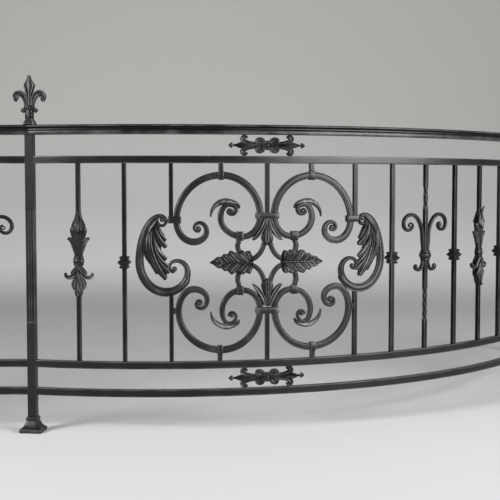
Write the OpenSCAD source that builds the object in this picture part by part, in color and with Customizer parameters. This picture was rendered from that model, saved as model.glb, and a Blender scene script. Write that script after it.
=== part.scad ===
// Wrought iron railing: one straight bay and one bowed bay between three posts.
// Each bay carries balusters with cast collars, leaves and lilies, and panels of
// C-scrolls bound by collars. The origin is under the foot of the middle post.
// The straight bay runs to -X, the bow swings out to -Y and round to +X.

/* [Railing] */
// Height of the handrail's top above the floor
rail_top = 1000; // [920:5:1120]
// Radius of the bow, to the middle of the bars
bow_radius = 1615; // [1500:5:2400]
// Angle between the straight bay and the start of the bow
bow_lead = 13.8; // [8:0.1:18]
// Spacing of the upright bars
bar_pitch = 150; // [140:1:170]
// Distance from a post to the nearest bar
post_gap = 162; // [155:1:190]
// Half the width of a scroll panel, between its side bars
panel_half = 312; // [300:1:330]

/* [Bars and rails] */
// Side of the square upright bars
bar_w = 14; // [12:0.5:16]
// Height of the flat rails
flat_h = 24; // [20:1:28]
// Depth of the flat rails from front to back
flat_d = 20; // [18:1:28]
// Height of the handrail's moulding
hand_h = 32; // [28:1:40]
// Depth of the handrail from front to back
hand_d = 46; // [42:1:56]
// Clear space between the handrail and the rail below it
top_gap = 68; // [62:1:76]
// Underside of the lowest rail above the floor
low_z = 123; // [100:1:150]
// Clear space between the two bottom rails
low_gap = 67; // [62:1:76]

/* [Posts] */
// Side of the square posts
post_w = 28; // [26:1:32]
// Side of the cast foot
foot_w = 74; // [68:1:90]
// Height of the cast foot
foot_h = 50; // [40:1:60]
// Height of the finial above the handrail
finial_h = 158; // [140:1:175]

/* [Scroll panel] */
// Width of the C-scrolls' bar, seen from the front
scroll_w = 22; // [20:0.5:24]
// Thickness of the collar bands
band_t = 3.5; // [2.5:0.5:5]
// Thickness of the cast leaves on each face
leaf_t = 7; // [5:0.5:9]

/* [Hidden] */
$fn = 48;
iron = "#303133";
iron_cast = "#3a3b3d";

// Heights of the rails
hand_bot = rail_top - hand_h;
sub_top = hand_bot - top_gap;
sub_bot = sub_top - flat_h;
low_top = low_z + flat_h;
up_bot = low_top + low_gap;
up_top = up_bot + flat_h;
mid_z = (sub_bot + up_top) / 2;

// Stations along a bay, measured from the middle post
panel_1 = post_gap + 2 * bar_pitch + panel_half;
panel_2 = post_gap + 8 * bar_pitch + 3 * panel_half;
straight_len = 2 * post_gap + 4 * bar_pitch + 2 * panel_half;
bow_len = 2 * post_gap + 10 * bar_pitch + 4 * panel_half;
straight_panels = [panel_1];
bow_panels = [panel_1, panel_2];
straight_knuckle_s = [for (k = [1, 3]) post_gap + k * bar_pitch + (k > 2 ? 2 * panel_half : 0)];
bow_knuckle_s = [for (k = [1, 3, 5, 7, 9])
    post_gap + k * bar_pitch + (k > 8 ? 4 : k > 2 ? 2 : 0) * panel_half];
straight_lily_s = [post_gap];
straight_leaf_s = [post_gap + 4 * bar_pitch + 2 * panel_half];
bow_leaf_s = [post_gap, post_gap + 6 * bar_pitch + 2 * panel_half];
bow_lily_s = [post_gap + 4 * bar_pitch + 2 * panel_half, post_gap + 10 * bar_pitch + 4 * panel_half];
bow_c = [bow_radius * sin(bow_lead), bow_radius * cos(bow_lead), 0];
rail_over = post_w / 2 + 8;

// Panel coordinates: u along the bay from the panel's middle, v up from its middle
ku = panel_half / 312;
kv = (sub_bot - up_top) / 638;
kw = scroll_w / 22;
kb = bar_w / 14;
scroll_d = bar_w;
band_gap = 0.4;
function pt(u, v, w) = [u * ku, mid_z + v * kv, w * kw];
bar_edge = panel_half - bar_w / 2;
bar_outer = panel_half + bar_w / 2;

// Angle of the bow's local frame at distance s from the middle post
function bow_angle(s) = s / bow_radius * 180 / PI - bow_lead;

// A forged scroll is a chain of quarter ellipses between the points where it runs
// level or plumb, each given as [across, up, width].
function quarter(p, q, plumb, t) = plumb
    ? [p[0] + (q[0] - p[0]) * (1 - cos(t)), p[1] + (q[1] - p[1]) * sin(t)]
    : [p[0] + (q[0] - p[0]) * sin(t), p[1] + (q[1] - p[1]) * (1 - cos(t))];
function heading(p, q, plumb, t) = plumb
    ? [(q[0] - p[0]) * sin(t), (q[1] - p[1]) * cos(t)]
    : [(q[0] - p[0]) * cos(t), (q[1] - p[1]) * sin(t)];
function steps(p, q) = max(4, min(12, ceil((abs(q[0] - p[0]) + abs(q[1] - p[1])) / 22)));
function edge_points(pts, plumb, side) = [
    for (i = [0 : len(pts) - 2])
        let (p = pts[i], q = pts[i + 1], n = steps(p, q), up = (i % 2 == 0) ? plumb : !plumb)
        for (k = [0 : i == len(pts) - 2 ? n : n - 1])
            let (t = 90 * k / n, d = heading(p, q, up, t), w = p[2] + (q[2] - p[2]) * k / n)
            quarter(p, q, up, t) + side * w / 2 / norm(d) * [-d[1], d[0]]
];
function reversed(list) = [for (i = [len(list) - 1 : -1 : 0]) list[i]];

module stroke(pts, plumb = true)
    polygon(concat(edge_points(pts, plumb, 1), reversed(edge_points(pts, plumb, -1))));

module two_sided(half)
    polygon(concat(half, [for (p = reversed(half)) [-p[0], p[1]]]));

module left_and_right() {
    children();
    mirror([1, 0]) children();
}

// A turning of square section from a half profile of [half width, height]
module square_turning(half)
    intersection() {
        rotate([90, 0, 0]) linear_extrude(200, center = true) two_sided(half);
        rotate([90, 0, 90]) linear_extrude(200, center = true) two_sided(half);
    }

module round_turning(half)
    rotate_extrude() polygon(concat([[0, half[0][1]]], half, [[0, half[len(half) - 1][1]]]));

module square_bar(w, z0, z1)
    translate([-w / 2, -w / 2, z0]) cube([w, w, z1 - z0]);

// Places its children at distance s along a bay
module station(bow, s) {
    if (bow) translate(bow_c) rotate(bow_angle(s)) translate([0, -bow_radius, 0]) children();
    else translate([-s, 0, 0]) children();
}

// A stretch of the bow's own curve, as a shell of the given depth
module bow_shell(s0, s1, depth, off, z0, z1)
    translate(bow_c)
        rotate(bow_angle(s0) - 90)
            rotate_extrude(angle = bow_angle(s1) - bow_angle(s0), $fn = 720)
                translate([bow_radius + off - depth / 2, z0]) square([depth, z1 - z0]);

// A plate cut to a panel outline, flat on the straight bay and rolled to the bow's curve.
// centre is the panel's middle, u0 and reach the middle and half length of the plate.
module panel_plate(bow, centre, u0, reach, depth, off = 0) {
    if (bow) intersection() {
        station(true, centre + u0 * ku) translate([0, -off, 0]) rotate([90, 0, 0])
            linear_extrude(depth + 2 + pow(reach, 2) / bow_radius * 2, center = true)
                translate([-u0 * ku, 0]) children();
        bow_shell(centre + u0 * ku - reach - 30, centre + u0 * ku + reach + 30, depth, off, up_top - 150, rail_top);
    }
    else translate([-centre, -off, 0]) rotate([90, 0, 0]) linear_extrude(depth, center = true) children();
}

// Posts

module post_shaft() {
    groove_lo = mid_z - 197;
    groove_hi = mid_z + 174;
    difference() {
        square_bar(post_w, foot_base, hand_bot);
        for (a = [0, 90, 180, 270]) rotate(a) for (x = [-1, 0, 1])
            translate([x * post_w * 0.27, -post_w / 2 - 0.6, groove_lo]) cylinder(r = 3, h = groove_hi - groove_lo);
    }
}
foot_base = 7;

module at_left() translate([-straight_len, 0, 0]) children();
module at_middle() rotate(-bow_lead / 2) children();
module at_right() station(true, bow_len) children();

module left_post() color(iron) at_left() post_shaft();
module middle_post() color(iron) at_middle() post_shaft();
module right_post() color(iron) at_right() post_shaft();

module foot() {
    f = foot_w / 2;
    c = post_w / 2;
    plinth = 15;
    k = (foot_h - plinth) / 35;
    difference() {
        square_turning([[f - 2, 0], [f, 3], [f, 11], [f - 3, 14], [f - 6, plinth], [f - 10, plinth + 4 * k],
            [c + 9.2, plinth + 10 * k], [c + 6.4, plinth + 16 * k], [c + 4.6, plinth + 21 * k], [c + 3.6, plinth + 24 * k],
            [c + 5.2, plinth + 25 * k], [c + 5.2, plinth + 32 * k], [c + 3, foot_h]]);
        translate([0, 0, foot_base]) square_bar(post_w, 0, foot_h);
    }
}

module post_feet() color(iron_cast) {
    at_left() foot();
    at_middle() foot();
    at_right() foot();
}

module finial() {
    k = finial_h / 158;
    translate([0, 0, rail_top]) {
        square_turning([[18, 0], [17.5, 4], [15, 14], [13, 19], [12, 24], [14, 29], [14, 34], [12, 40], [13, 45]] * k);
        rotate([90, 0, 0]) linear_extrude(18, center = true) scale(k) {
            two_sided([[10, 44], [10, 60], [7.5, 80], [10, 94], [15, 107], [18, 119], [19.5, 128], [17, 132],
                [12, 138], [8.7, 144], [6.5, 151], [5.5, 156], [3, 158]]);
            translate([-20, 42]) square([40, 18]);
            left_and_right() {
                stroke([[12, 58, 12], [34, 102, 22], [46.5, 89, 17], [43, 80, 12]]);
                translate([25, 47]) circle(8, $fn = 24);
            }
        }
    }
}

module finials() color(iron_cast) {
    at_left() finial();
    at_middle() finial();
    at_right() finial();
}

// Rails

module hand_profile()
    translate([0, hand_bot]) scale([hand_d / 46, hand_h / 32]) two_sided([[15, 0], [17, 1.5], [17, 11.5],
        [16, 13], [12.5, 15.5], [12, 19], [13, 23], [17, 25.2], [22, 26], [23, 27.5], [22.5, 29.5], [19, 31], [13, 32]]);

module flat_profile(z0) translate([-flat_d / 2, z0]) square([flat_d, flat_h]);

module straight_run(x0, x1)
    translate([x0, 0, 0]) rotate([90, 0, 90]) linear_extrude(x1 - x0) children();

module bow_run(s0, s1)
    translate(bow_c) rotate(bow_angle(s0) - 90)
        rotate_extrude(angle = bow_angle(s1) - bow_angle(s0), $fn = 720)
            translate([bow_radius, 0]) children();

module post_cut() translate([0, 0, low_z - 50]) square_bar(post_w, 0, rail_top);

module straight_flat_rail(z0) color(iron) difference() {
    straight_run(-straight_len, 0) flat_profile(z0);
    at_left() post_cut();
    at_left() translate([-200, -100, 0]) cube([200, 200, rail_top]);
    at_middle() post_cut();
    at_middle() translate([0, -100, 0]) cube([200, 200, rail_top]);
}

module bow_flat_rail(z0) color(iron) difference() {
    bow_run(-10, bow_len + 10) flat_profile(z0);
    at_middle() post_cut();
    at_middle() translate([-200, -100, 0]) cube([200, 200, rail_top]);
    at_right() post_cut();
    at_right() translate([0, -100, 0]) cube([200, 200, rail_top]);
}

module straight_handrail() color(iron) difference() {
    straight_run(-straight_len - rail_over, 20) hand_profile();
    at_middle() translate([0, -100, hand_bot - 10]) cube([200, 200, 100]);
}

module bow_handrail() color(iron) difference() {
    bow_run(-20, bow_len + rail_over) hand_profile();
    at_middle() translate([-200, -100, hand_bot - 10]) cube([200, 200, 100]);
}

module straight_sub_rail() straight_flat_rail(sub_bot);
module straight_upper_bottom_rail() straight_flat_rail(up_bot);
module straight_lower_bottom_rail() straight_flat_rail(low_z);
module bow_sub_rail() bow_flat_rail(sub_bot);
module bow_upper_bottom_rail() bow_flat_rail(up_bot);
module bow_lower_bottom_rail() bow_flat_rail(low_z);

// Balusters

leaf_hi = mid_z + 166 * kv;
leaf_lo = mid_z - 117 * kv;
lily_hi = mid_z + 24 * kv;
lily_lo = mid_z - 13 * kv;

module bar_set(bow, knuckles, leaves, lilies, panels) color(iron) {
    for (s = knuckles) station(bow, s) square_bar(bar_w, up_top, sub_bot);
    for (s = leaves) station(bow, s) {
        square_bar(bar_w, leaf_hi, sub_bot);
        square_bar(bar_w, up_top, leaf_lo);
    }
    for (s = lilies) station(bow, s) {
        square_bar(bar_w, lily_hi, sub_bot);
        square_bar(bar_w, up_top, lily_lo);
    }
    for (c = panels) {
        station(bow, c) {
            square_bar(bar_w, mid_z + 140 * kv, sub_bot);
            square_bar(bar_w, up_top, mid_z - 148 * kv);
        }
        for (side = [-1, 1]) station(bow, c + side * panel_half) {
            square_bar(bar_w, mid_z + 127 * kv, sub_bot);
            square_bar(bar_w, up_top, mid_z - 108 * kv);
        }
    }
}

module straight_bars() bar_set(false, straight_knuckle_s, straight_leaf_s, straight_lily_s, straight_panels);
module bow_bars() bar_set(true, bow_knuckle_s, bow_leaf_s, bow_lily_s, bow_panels);

module knuckle()
    translate([0, 0, mid_z + 2]) difference() {
        square_turning([[11.5, -20], [15, -15], [12, -10], [20.5, 0], [12, 10], [15, 15], [11.5, 20]] * kb);
        square_bar(bar_w, -30 * kb, 30 * kb);
    }

module straight_knuckles() color(iron_cast) for (s = straight_knuckle_s) station(false, s) knuckle();
module bow_knuckles() color(iron_cast) for (s = bow_knuckle_s) station(true, s) knuckle();

module leaf_casting() translate([0, 0, mid_z]) {
    bud = cast_points([[8, -117], [9.5, -107], [13.5, -94], [18.5, -84], [21, -72], [20.5, -66], [17, -57], [19, -46],
        [24, -36], [20, -26], [13, -12], [14, -8], [17, -6], [17.5, 4], [17, 16], [14, 21], [15.5, 32], [17.5, 43],
        [21, 53], [23.5, 57], [21, 61], [25, 68], [36, 74], [33, 80], [27, 81], [24.3, 86], [28.7, 100], [28, 110],
        [22.5, 115.6], [21, 123.5], [15, 133.6], [12.4, 149], [8, 166]]);
    intersection() {
        rotate([90, 0, 0]) linear_extrude(200, center = true) two_sided(bud);
        rotate([90, 0, 90]) linear_extrude(200, center = true)
            two_sided([for (p = bud) [min(12 * kb, 3 * kb + p[0] * 0.62), p[1]]]);
    }
    rotate([90, 0, 0]) linear_extrude(11 * kb, center = true) left_and_right()
        stroke([[12 * kb, -30 * kv, 13 * kb], [32 * kb, -48.5 * kv, 14 * kb], [45.5 * kb, -37 * kv, 7 * kb]]);
    // The leaf's two tips turn out towards the front
    rotate([90, 0, 90]) linear_extrude(9 * kb, center = true) {
        polygon(cast_points([[-6, 128], [-11, 140], [-14, 152], [-19, 165], [-20, 170], [-15, 164], [-9, 152], [-5, 146]]));
        polygon(cast_points([[-6, -88], [-10, -98], [-12, -106], [-16, -114], [-14, -115], [-9, -109], [-5, -104]]));
    }
}
function cast_points(list) = [for (p = list) [p[0] * kb, p[1] * kv]];

module straight_leaf_casting() color(iron_cast) for (s = straight_leaf_s) station(false, s) leaf_casting();
module bow_leaf_castings() color(iron_cast) for (s = bow_leaf_s) station(true, s) leaf_casting();

function cast(list) = [for (p = list) [p[0] * kb, p[1] * kv, p[2] * kb]];

module lily_casting() difference() {
    translate([0, 0, mid_z]) {
        round_turning(cast_points([[15.5, -13], [18, -9], [16.6, -5.6], [20.6, 0], [21.6, 6], [20.6, 11.4],
            [17.2, 14.4], [18.4, 18], [17.6, 21], [14, 24]]));
        rotate([90, 0, 0]) linear_extrude(12 * kb, center = true) left_and_right() {
            polygon([[7 * kb, 10 * kv], [18 * kb, 10 * kv], [21 * kb, 83 * kv], [8 * kb, 83 * kv]]);
            stroke(cast([[14.5, 82, 13], [67, 147, 12.5], [100.5, 116, 12.5], [80, 93.5, 11], [61, 109, 9.5], [71, 117, 8]]));
            translate([73 * kb, 110.5 * kv]) circle(6.8 * kb, $fn = 24);
            stroke(cast([[12, 0, 12], [31.5, -45, 12], [48, -36, 9], [43, -30, 7]]));
            translate([42 * kb, -33 * kv]) circle(5 * kb, $fn = 24);
        }
    }
    square_bar(bar_w, lily_hi, sub_bot);
    square_bar(bar_w, up_top, lily_lo);
}

module straight_lily_casting() color(iron_cast) for (s = straight_lily_s) station(false, s) lily_casting();
module bow_lily_castings() color(iron_cast) for (s = bow_lily_s) station(true, s) lily_casting();

// Scroll panel outlines, drawn for the left half

// The snub end that a curl is rolled round
module snub_end(u, v, r) translate([u * ku, mid_z + v * kv]) circle(r * kw, $fn = 24);

module upper_scroll_outline() {
    snub_end(-225, 110, 8.6);
    snub_end(-118.5, 164.5, 8.4);
    upper_scroll_bar();
}

module lower_scroll_outline() {
    snub_end(-221, -131.5, 8);
    snub_end(-118, -171.5, 7.6);
    lower_scroll_bar();
}

module upper_scroll_bar() stroke([
    pt(-219, 108, 7), pt(-227, 100, 8), pt(-239.5, 113, 9), pt(-221, 129, 12), pt(-198, 101, 17),
    pt(-239, 67, 23), [10 * kw - bar_edge, mid_z + 133 * kv, 20 * kw], pt(-152, 281, 23), pt(-23, 149, 22),
    pt(-80, 83, 19.5), pt(-153.5, 144, 19), pt(-128, 187, 15), pt(-102, 171, 12), pt(-116, 154, 10),
    pt(-131, 164, 8), pt(-122, 172, 7)
]);

module lower_scroll_bar() stroke([
    pt(-214, -130, 7), pt(-223, -121, 8), pt(-234, -135, 9), pt(-217, -148, 12), pt(-197, -119, 17),
    pt(-240, -85, 22), pt(-289, -155, 20), pt(-150, -283, 23), pt(-24, -152, 20),
    pt(-83, -90, 19), pt(-149, -158, 17), pt(-125, -199, 13), pt(-103, -174, 9), pt(-117, -161, 8),
    pt(-128, -172, 7)
]);

module upper_tail_outline() difference() {
    stroke([pt(-185, 148, 5), pt(-138, 197, 20), pt(-94, 176, 10)]);
    upper_scroll_outline();
}

module lower_tail_outline() difference() {
    stroke([pt(-185, -159, 5), pt(-134, -208, 18), pt(-95, -187, 10)]);
    lower_scroll_outline();
}

// The level collars bind the inner loops, and the links rise to them
upper_band = [mid_z + 83 * kv - 9.9 * kw, mid_z + 83 * kv + 13.4 * kw];
lower_band = [mid_z - 90 * kv - 12.4 * kw, mid_z - 90 * kv + 9.7 * kw];

module link_outline(flip, end) {
    z = mid_z + flip * 57 * kv;
    apart = 0.3;
    stroke([[-98 * ku, z, 16 * kw], [-62 * ku, mid_z + flip * (7.75 * kw + apart), 15.5 * kw],
        [-7.4 * kw - apart, mid_z + flip * 84 * kv, 14.8 * kw]]);
    polygon([[-98 * ku - 8 * kw, z], [-98 * ku + 8 * kw, z], [-93 * ku + 7 * kw, end], [-93 * ku - 7 * kw, end]]);
}

module upper_link_outline() link_outline(1, upper_band[0] - band_t);
module lower_link_outline() link_outline(-1, lower_band[1] + band_t);

module side_scroll_outline() {
    snub_end(-302, -20, 8.8);
    side_scroll_bar();
}

module side_scroll_bar() stroke([
    pt(-299, -18, 7), pt(-308, -30, 8), pt(-317.5, -12, 9), pt(-295, 7, 12), pt(-259.5, -30, 20),
    pt(-329, -94.5, 29), pt(-413.5, 5, 27), pt(-346, 151, 13), [-bar_outer - band_t - 0.5 - 5.5 * kw, mid_z + 133 * kv, 11 * kw],
    pt(-341, 119, 10), pt(-352, 128, 8)
]);

function flat_points(list) = [for (p = list) [p[0] * ku, mid_z + p[1] * kv]];

module acanthus_outline() difference() {
    polygon(flat_points([[-352, 150], [-372, 136], [-405, 80], [-402, 45], [-393, 38], [-391, 20], [-384, 0], [-376, -2],
        [-371, -8], [-362, -30], [-355, -36], [-346, -29], [-341, -44], [-329, -58], [-323, -50], [-320, -28], [-322, -14],
        [-336, 1], [-328, 10], [-331, 20], [-351, 48], [-338, 51], [-328, 49], [-331, 72], [-342, 100], [-350, 108]]));
    side_scroll_outline();
}

module flat_leaf_outline() polygon(flat_points([
    [-50, 6], [-53, 20], [-60, 30], [-70, 33], [-77, 27], [-87, 36], [-98, 30], [-109, 37], [-119, 37], [-127, 29],
    [-134, 20], [-148, 20], [-161, 15], [-175, 8], [-189, 0],
    [-175, -8], [-161, -15], [-148, -20], [-134, -20], [-127, -29], [-119, -37], [-109, -37], [-98, -30], [-87, -36],
    [-77, -27], [-70, -33], [-60, -30], [-53, -20], [-50, -6]
]));

module palmette_outline(flip) {
    two_sided(flat_points([for (p = [[3, 55], [10, 59], [17, 66], [20, 75], [18, 86], [11, 100], [9, 126], [12, 128], [12, 139]])
        [p[0], flip * p[1]]]));
    left_and_right() polygon(flat_points([for (p = [[11, 139], [19, 120], [32, 98], [48, 71], [38, 78], [23, 93], [12, 118],
        [9, 128]]) [p[0], flip * p[1]]]));
}

// Scroll panel pieces

module mirrored_pair(side) {
    if (side > 0) mirror([1, 0]) children();
    else children();
}

module c_scrolls(bow, panels) color(iron) for (c = panels) for (side = [-1, 1]) {
    panel_plate(bow, c, side * 160, 150, scroll_d) mirrored_pair(side) upper_scroll_outline();
    panel_plate(bow, c, side * 160, 150, scroll_d) mirrored_pair(side) lower_scroll_outline();
}

module straight_c_scrolls() c_scrolls(false, straight_panels);
module bow_c_scrolls() c_scrolls(true, bow_panels);

module scroll_tails(bow, panels) color(iron_cast) for (c = panels) for (side = [-1, 1]) {
    panel_plate(bow, c, side * 140, 50, scroll_d - 3) mirrored_pair(side) upper_tail_outline();
    panel_plate(bow, c, side * 140, 50, scroll_d - 3) mirrored_pair(side) lower_tail_outline();
}

module straight_scroll_tails() scroll_tails(false, straight_panels);
module bow_scroll_tails() scroll_tails(true, bow_panels);

module links(bow, panels) color(iron) for (c = panels) for (side = [-1, 1]) {
    panel_plate(bow, c, side * 54, 60, scroll_d) mirrored_pair(side) upper_link_outline();
    panel_plate(bow, c, side * 54, 60, scroll_d) mirrored_pair(side) lower_link_outline();
}

module straight_links() links(false, straight_panels);
module bow_links() links(true, bow_panels);

module side_scrolls(bow, panels) color(iron) for (c = panels) for (side = [-1, 1])
    panel_plate(bow, c, side * 338, 100, scroll_d) mirrored_pair(side) side_scroll_outline();

module straight_side_scrolls() side_scrolls(false, straight_panels);
module bow_side_scrolls() side_scrolls(true, bow_panels);

module acanthus_leaves(bow, panels) color(iron_cast) for (c = panels) for (side = [-1, 1])
    panel_plate(bow, c, side * 355, 60, scroll_d + 2) mirrored_pair(side) acanthus_outline();

module straight_acanthus_leaves() acanthus_leaves(false, straight_panels);
module bow_acanthus_leaves() acanthus_leaves(true, bow_panels);

module flat_leaves(bow, panels) color(iron_cast) for (c = panels) for (side = [-1, 1]) for (face = [-1, 1])
    panel_plate(bow, c, side * 120, 80, leaf_t, face * (scroll_d + leaf_t) / 2)
        mirrored_pair(side) flat_leaf_outline();

module straight_flat_leaves() flat_leaves(false, straight_panels);
module bow_flat_leaves() flat_leaves(true, bow_panels);

module palmettes(bow, panels) color(iron_cast) for (c = panels) for (flip = [-1, 1]) for (face = [-1, 1])
    panel_plate(bow, c, 0, 60, leaf_t, face * (scroll_d + leaf_t) / 2) palmette_outline(flip);

module straight_palmettes() palmettes(false, straight_panels);
module bow_palmettes() palmettes(true, bow_panels);

// A band closed round the bars that pass through it along z, between u0 and u1
module upright_band(u0, u1, z0, z1) {
    d = scroll_d + 2 * band_gap;
    translate([u0 - band_t, -d / 2 - band_t, z0]) difference() {
        cube([u1 - u0 + 2 * band_t, d + 2 * band_t, z1 - z0]);
        translate([band_t, band_t, -1]) cube([u1 - u0, d, z1 - z0 + 2]);
    }
}

// A band closed round a bar that passes through it level, between z0 and z1
module level_band(u0, u1, z0, z1) {
    d = scroll_d + band_gap;
    translate([u0, -d / 2 - band_t, z0 - band_t]) difference() {
        cube([u1 - u0, d + 2 * band_t, z1 - z0 + 2 * band_t]);
        translate([-1, band_t, band_t]) cube([u1 - u0 + 2, d, z1 - z0]);
    }
}

module strap(top) {
    hw = 8.5;
    z = mid_z + (top ? 281 : -283) * kv;
    half = 11.8 * kw;
    level_band(-hw, hw, z - half, z + half);
    if (top) translate([-hw + 1, -scroll_d / 2, z + half + band_t]) cube([2 * hw - 2, scroll_d, sub_bot - z - half - band_t]);
    else translate([-hw + 1, -scroll_d / 2, up_top]) cube([2 * hw - 2, scroll_d, z - half - band_t - up_top]);
}

module straps(bow, panels) color(iron) for (c = panels) for (side = [-1, 1]) {
    station(bow, c + (bow ? 1 : -1) * side * 152 * ku) strap(true);
    station(bow, c + (bow ? 1 : -1) * side * 156 * ku) strap(false);
}

module straight_straps() straps(false, straight_panels);
module bow_straps() straps(true, bow_panels);

module collars(bow, panels) color(iron) for (c = panels) {
    inner = 23 * ku + 11.9 * kw;
    dir = bow ? 1 : -1;
    station(bow, c) {
        upright_band(-inner, inner, mid_z + 140 * kv, mid_z + 140 * kv + 20);
        upright_band(-inner, inner, mid_z - 148 * kv - 20, mid_z - 148 * kv);
    }
    for (side = [-1, 1]) {
        lug = bar_edge - 289 * ku - 10 * kw - 0.6;
        station(bow, c + dir * side * bar_edge) {
            upright_band(side < 0 ? -bar_w - 0.2 : -21.8 * kw, side < 0 ? 21.8 * kw : bar_w + 0.2,
                mid_z + 127 * kv, mid_z + 127 * kv + 22);
            translate([side < 0 ? 0 : -lug, -scroll_d / 2 + 1, mid_z - 165 * kv]) cube([lug, scroll_d - 2, 20 * kv]);
        }
        station(bow, c + dir * side * 91.5 * ku) level_band(-11.5 * ku, 11.5 * ku, upper_band[0], upper_band[1]);
        station(bow, c + dir * side * 91 * ku) level_band(-10.5 * ku, 10.5 * ku, lower_band[0], lower_band[1]);
    }
}

module straight_collars() collars(false, straight_panels);
module bow_collars() collars(true, bow_panels);

// Tie ornaments between the paired rails

module tie_outline(h) scale(h / 68) {
    translate([-8.5, -15]) square([17, 30]);
    left_and_right() {
        for (v = [-1, 1]) {
            translate([24, 13 * v]) difference() {
                circle(14);
                circle(4.5, $fn = 24);
            }
            stroke([[46, 6 * v, 11], [91, 20 * v, 13], [81, 28.5 * v, 11], [73, 21 * v, 9]], false);
        }
        polygon([[8, -7.5], [30, -7.5], [48, -8.5], [68, -9], [88, -7.5], [104, -4.5], [116, -3],
            [116, 3], [104, 4.5], [88, 7.5], [68, 9], [48, 8.5], [30, 7.5], [8, 7.5]]);
        translate([121, 0]) circle(7);
    }
}

module ties(bow, panels) color(iron_cast) for (c = panels) {
    panel_plate(bow, c, 0, 2 * top_gap, scroll_d + 2) translate([0, (hand_bot + sub_top) / 2]) tie_outline(top_gap);
    panel_plate(bow, c, 0, 2 * low_gap, scroll_d + 2) translate([0, (up_bot + low_top) / 2]) tie_outline(low_gap);
}

module straight_ties() ties(false, straight_panels);
module bow_ties() ties(true, bow_panels);

left_post();
middle_post();
right_post();
post_feet();
finials();
straight_handrail();
straight_sub_rail();
straight_upper_bottom_rail();
straight_lower_bottom_rail();
bow_handrail();
bow_sub_rail();
bow_upper_bottom_rail();
bow_lower_bottom_rail();
straight_bars();
bow_bars();
straight_knuckles();
bow_knuckles();
straight_leaf_casting();
bow_leaf_castings();
straight_lily_casting();
bow_lily_castings();
straight_straps();
bow_straps();
straight_c_scrolls();
bow_c_scrolls();
straight_scroll_tails();
bow_scroll_tails();
straight_links();
bow_links();
straight_collars();
bow_collars();
straight_side_scrolls();
bow_side_scrolls();
straight_acanthus_leaves();
bow_acanthus_leaves();
straight_palmettes();
bow_palmettes();
straight_flat_leaves();
bow_flat_leaves();
straight_ties();
bow_ties();
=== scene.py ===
"""Wrought iron railing: the forged bars, scrolls and leaf castings of a straight bay and a bow."""
import math

import bpy
import numpy as np
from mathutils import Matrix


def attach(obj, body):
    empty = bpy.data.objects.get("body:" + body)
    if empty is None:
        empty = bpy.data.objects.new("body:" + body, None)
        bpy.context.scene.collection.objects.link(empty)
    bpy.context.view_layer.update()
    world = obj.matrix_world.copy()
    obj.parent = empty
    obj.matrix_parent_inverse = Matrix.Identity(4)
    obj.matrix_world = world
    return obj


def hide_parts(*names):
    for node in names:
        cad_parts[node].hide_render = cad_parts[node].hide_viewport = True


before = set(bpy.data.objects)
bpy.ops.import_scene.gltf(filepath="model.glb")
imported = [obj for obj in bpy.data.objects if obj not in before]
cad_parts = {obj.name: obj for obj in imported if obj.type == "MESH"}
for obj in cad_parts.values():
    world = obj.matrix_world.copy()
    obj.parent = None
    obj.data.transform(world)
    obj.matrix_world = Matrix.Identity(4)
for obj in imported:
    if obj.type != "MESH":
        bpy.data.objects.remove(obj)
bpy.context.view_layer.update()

# Sizes in millimetres, the same as the solids; LEAD is the turn between the bow and the straight bay
BOW_R = 1615.0
LEAD = math.radians(13.8)
BOW_X = BOW_R * math.sin(LEAD)
BOW_Y = BOW_R * math.cos(LEAD)
STRAIGHT_LEN = 1548.0
BOW_LEN = 3072.0
PANEL_HALF = 312.0
BAR = 14.0
POST_HALF = 14.0
FLAT_H = 24.0
FLAT_D = 20.0

# Heights in millimetres: the rails from the top down, and the middle of the panels
RAIL_TOP = 1000.0
HAND_BOT = 968.0
SUB_TOP = 900.0
SUB_BOT = 876.0
MID = 557.0
UP_TOP = 238.0
UP_BOT = 214.0
LOW_TOP = 147.0
LOW_BOT = 123.0


def lay_straight(s, off, z):
    """A point of the straight bay: s along +X, off towards the viewer (-Y), z up."""
    return np.stack(np.broadcast_arrays(s, -np.asarray(off), z), -1)


def lay_bow(s, off, z):
    """A point of the bow: s is arc length from the middle post, off is added to the radius."""
    a = np.asarray(s) / BOW_R - LEAD
    r = BOW_R + np.asarray(off)
    return np.stack(np.broadcast_arrays(BOW_X + r * np.sin(a), BOW_Y - r * np.cos(a), z), -1)


def lay_turned(x0, y0, angle):
    """A point round an upright axis at (x0, y0), with its face turned by angle."""
    def lay(s, off, z):
        s, off, z = np.broadcast_arrays(s, off, z)
        x = x0 + s * math.cos(angle) + off * math.sin(angle)
        y = y0 + s * math.sin(angle) - off * math.cos(angle)
        return np.stack([x, y, z], -1)
    return lay


def lay_turned_from(lay, angle):
    """The layout turned about its own upright axis."""
    c, n = math.cos(angle), math.sin(angle)

    def turned(s, off, z):
        s, off = np.asarray(s), np.asarray(off)
        return lay(s * c + off * n, off * c - s * n, z)
    return turned


def moved(lay, shift, lift=0.0):
    """The same layout with its s measured from shift and its z from lift."""
    return lambda s, off, z: lay(np.asarray(s) + shift, off, np.asarray(z) + lift)


def both_sides(lay):
    """The layout as it is, and mirrored left to right."""
    return lay, lambda s, off, z: lay(-np.asarray(s), off, z)


def both_ends(lay):
    """The layout as it is, and mirrored top to bottom about z = 0."""
    return lay, lambda s, off, z: lay(s, off, -np.asarray(z))


def both_faces(lay):
    """The layout as it is, and mirrored front to back."""
    return lay, lambda s, off, z: lay(s, -np.asarray(off), z)


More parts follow.
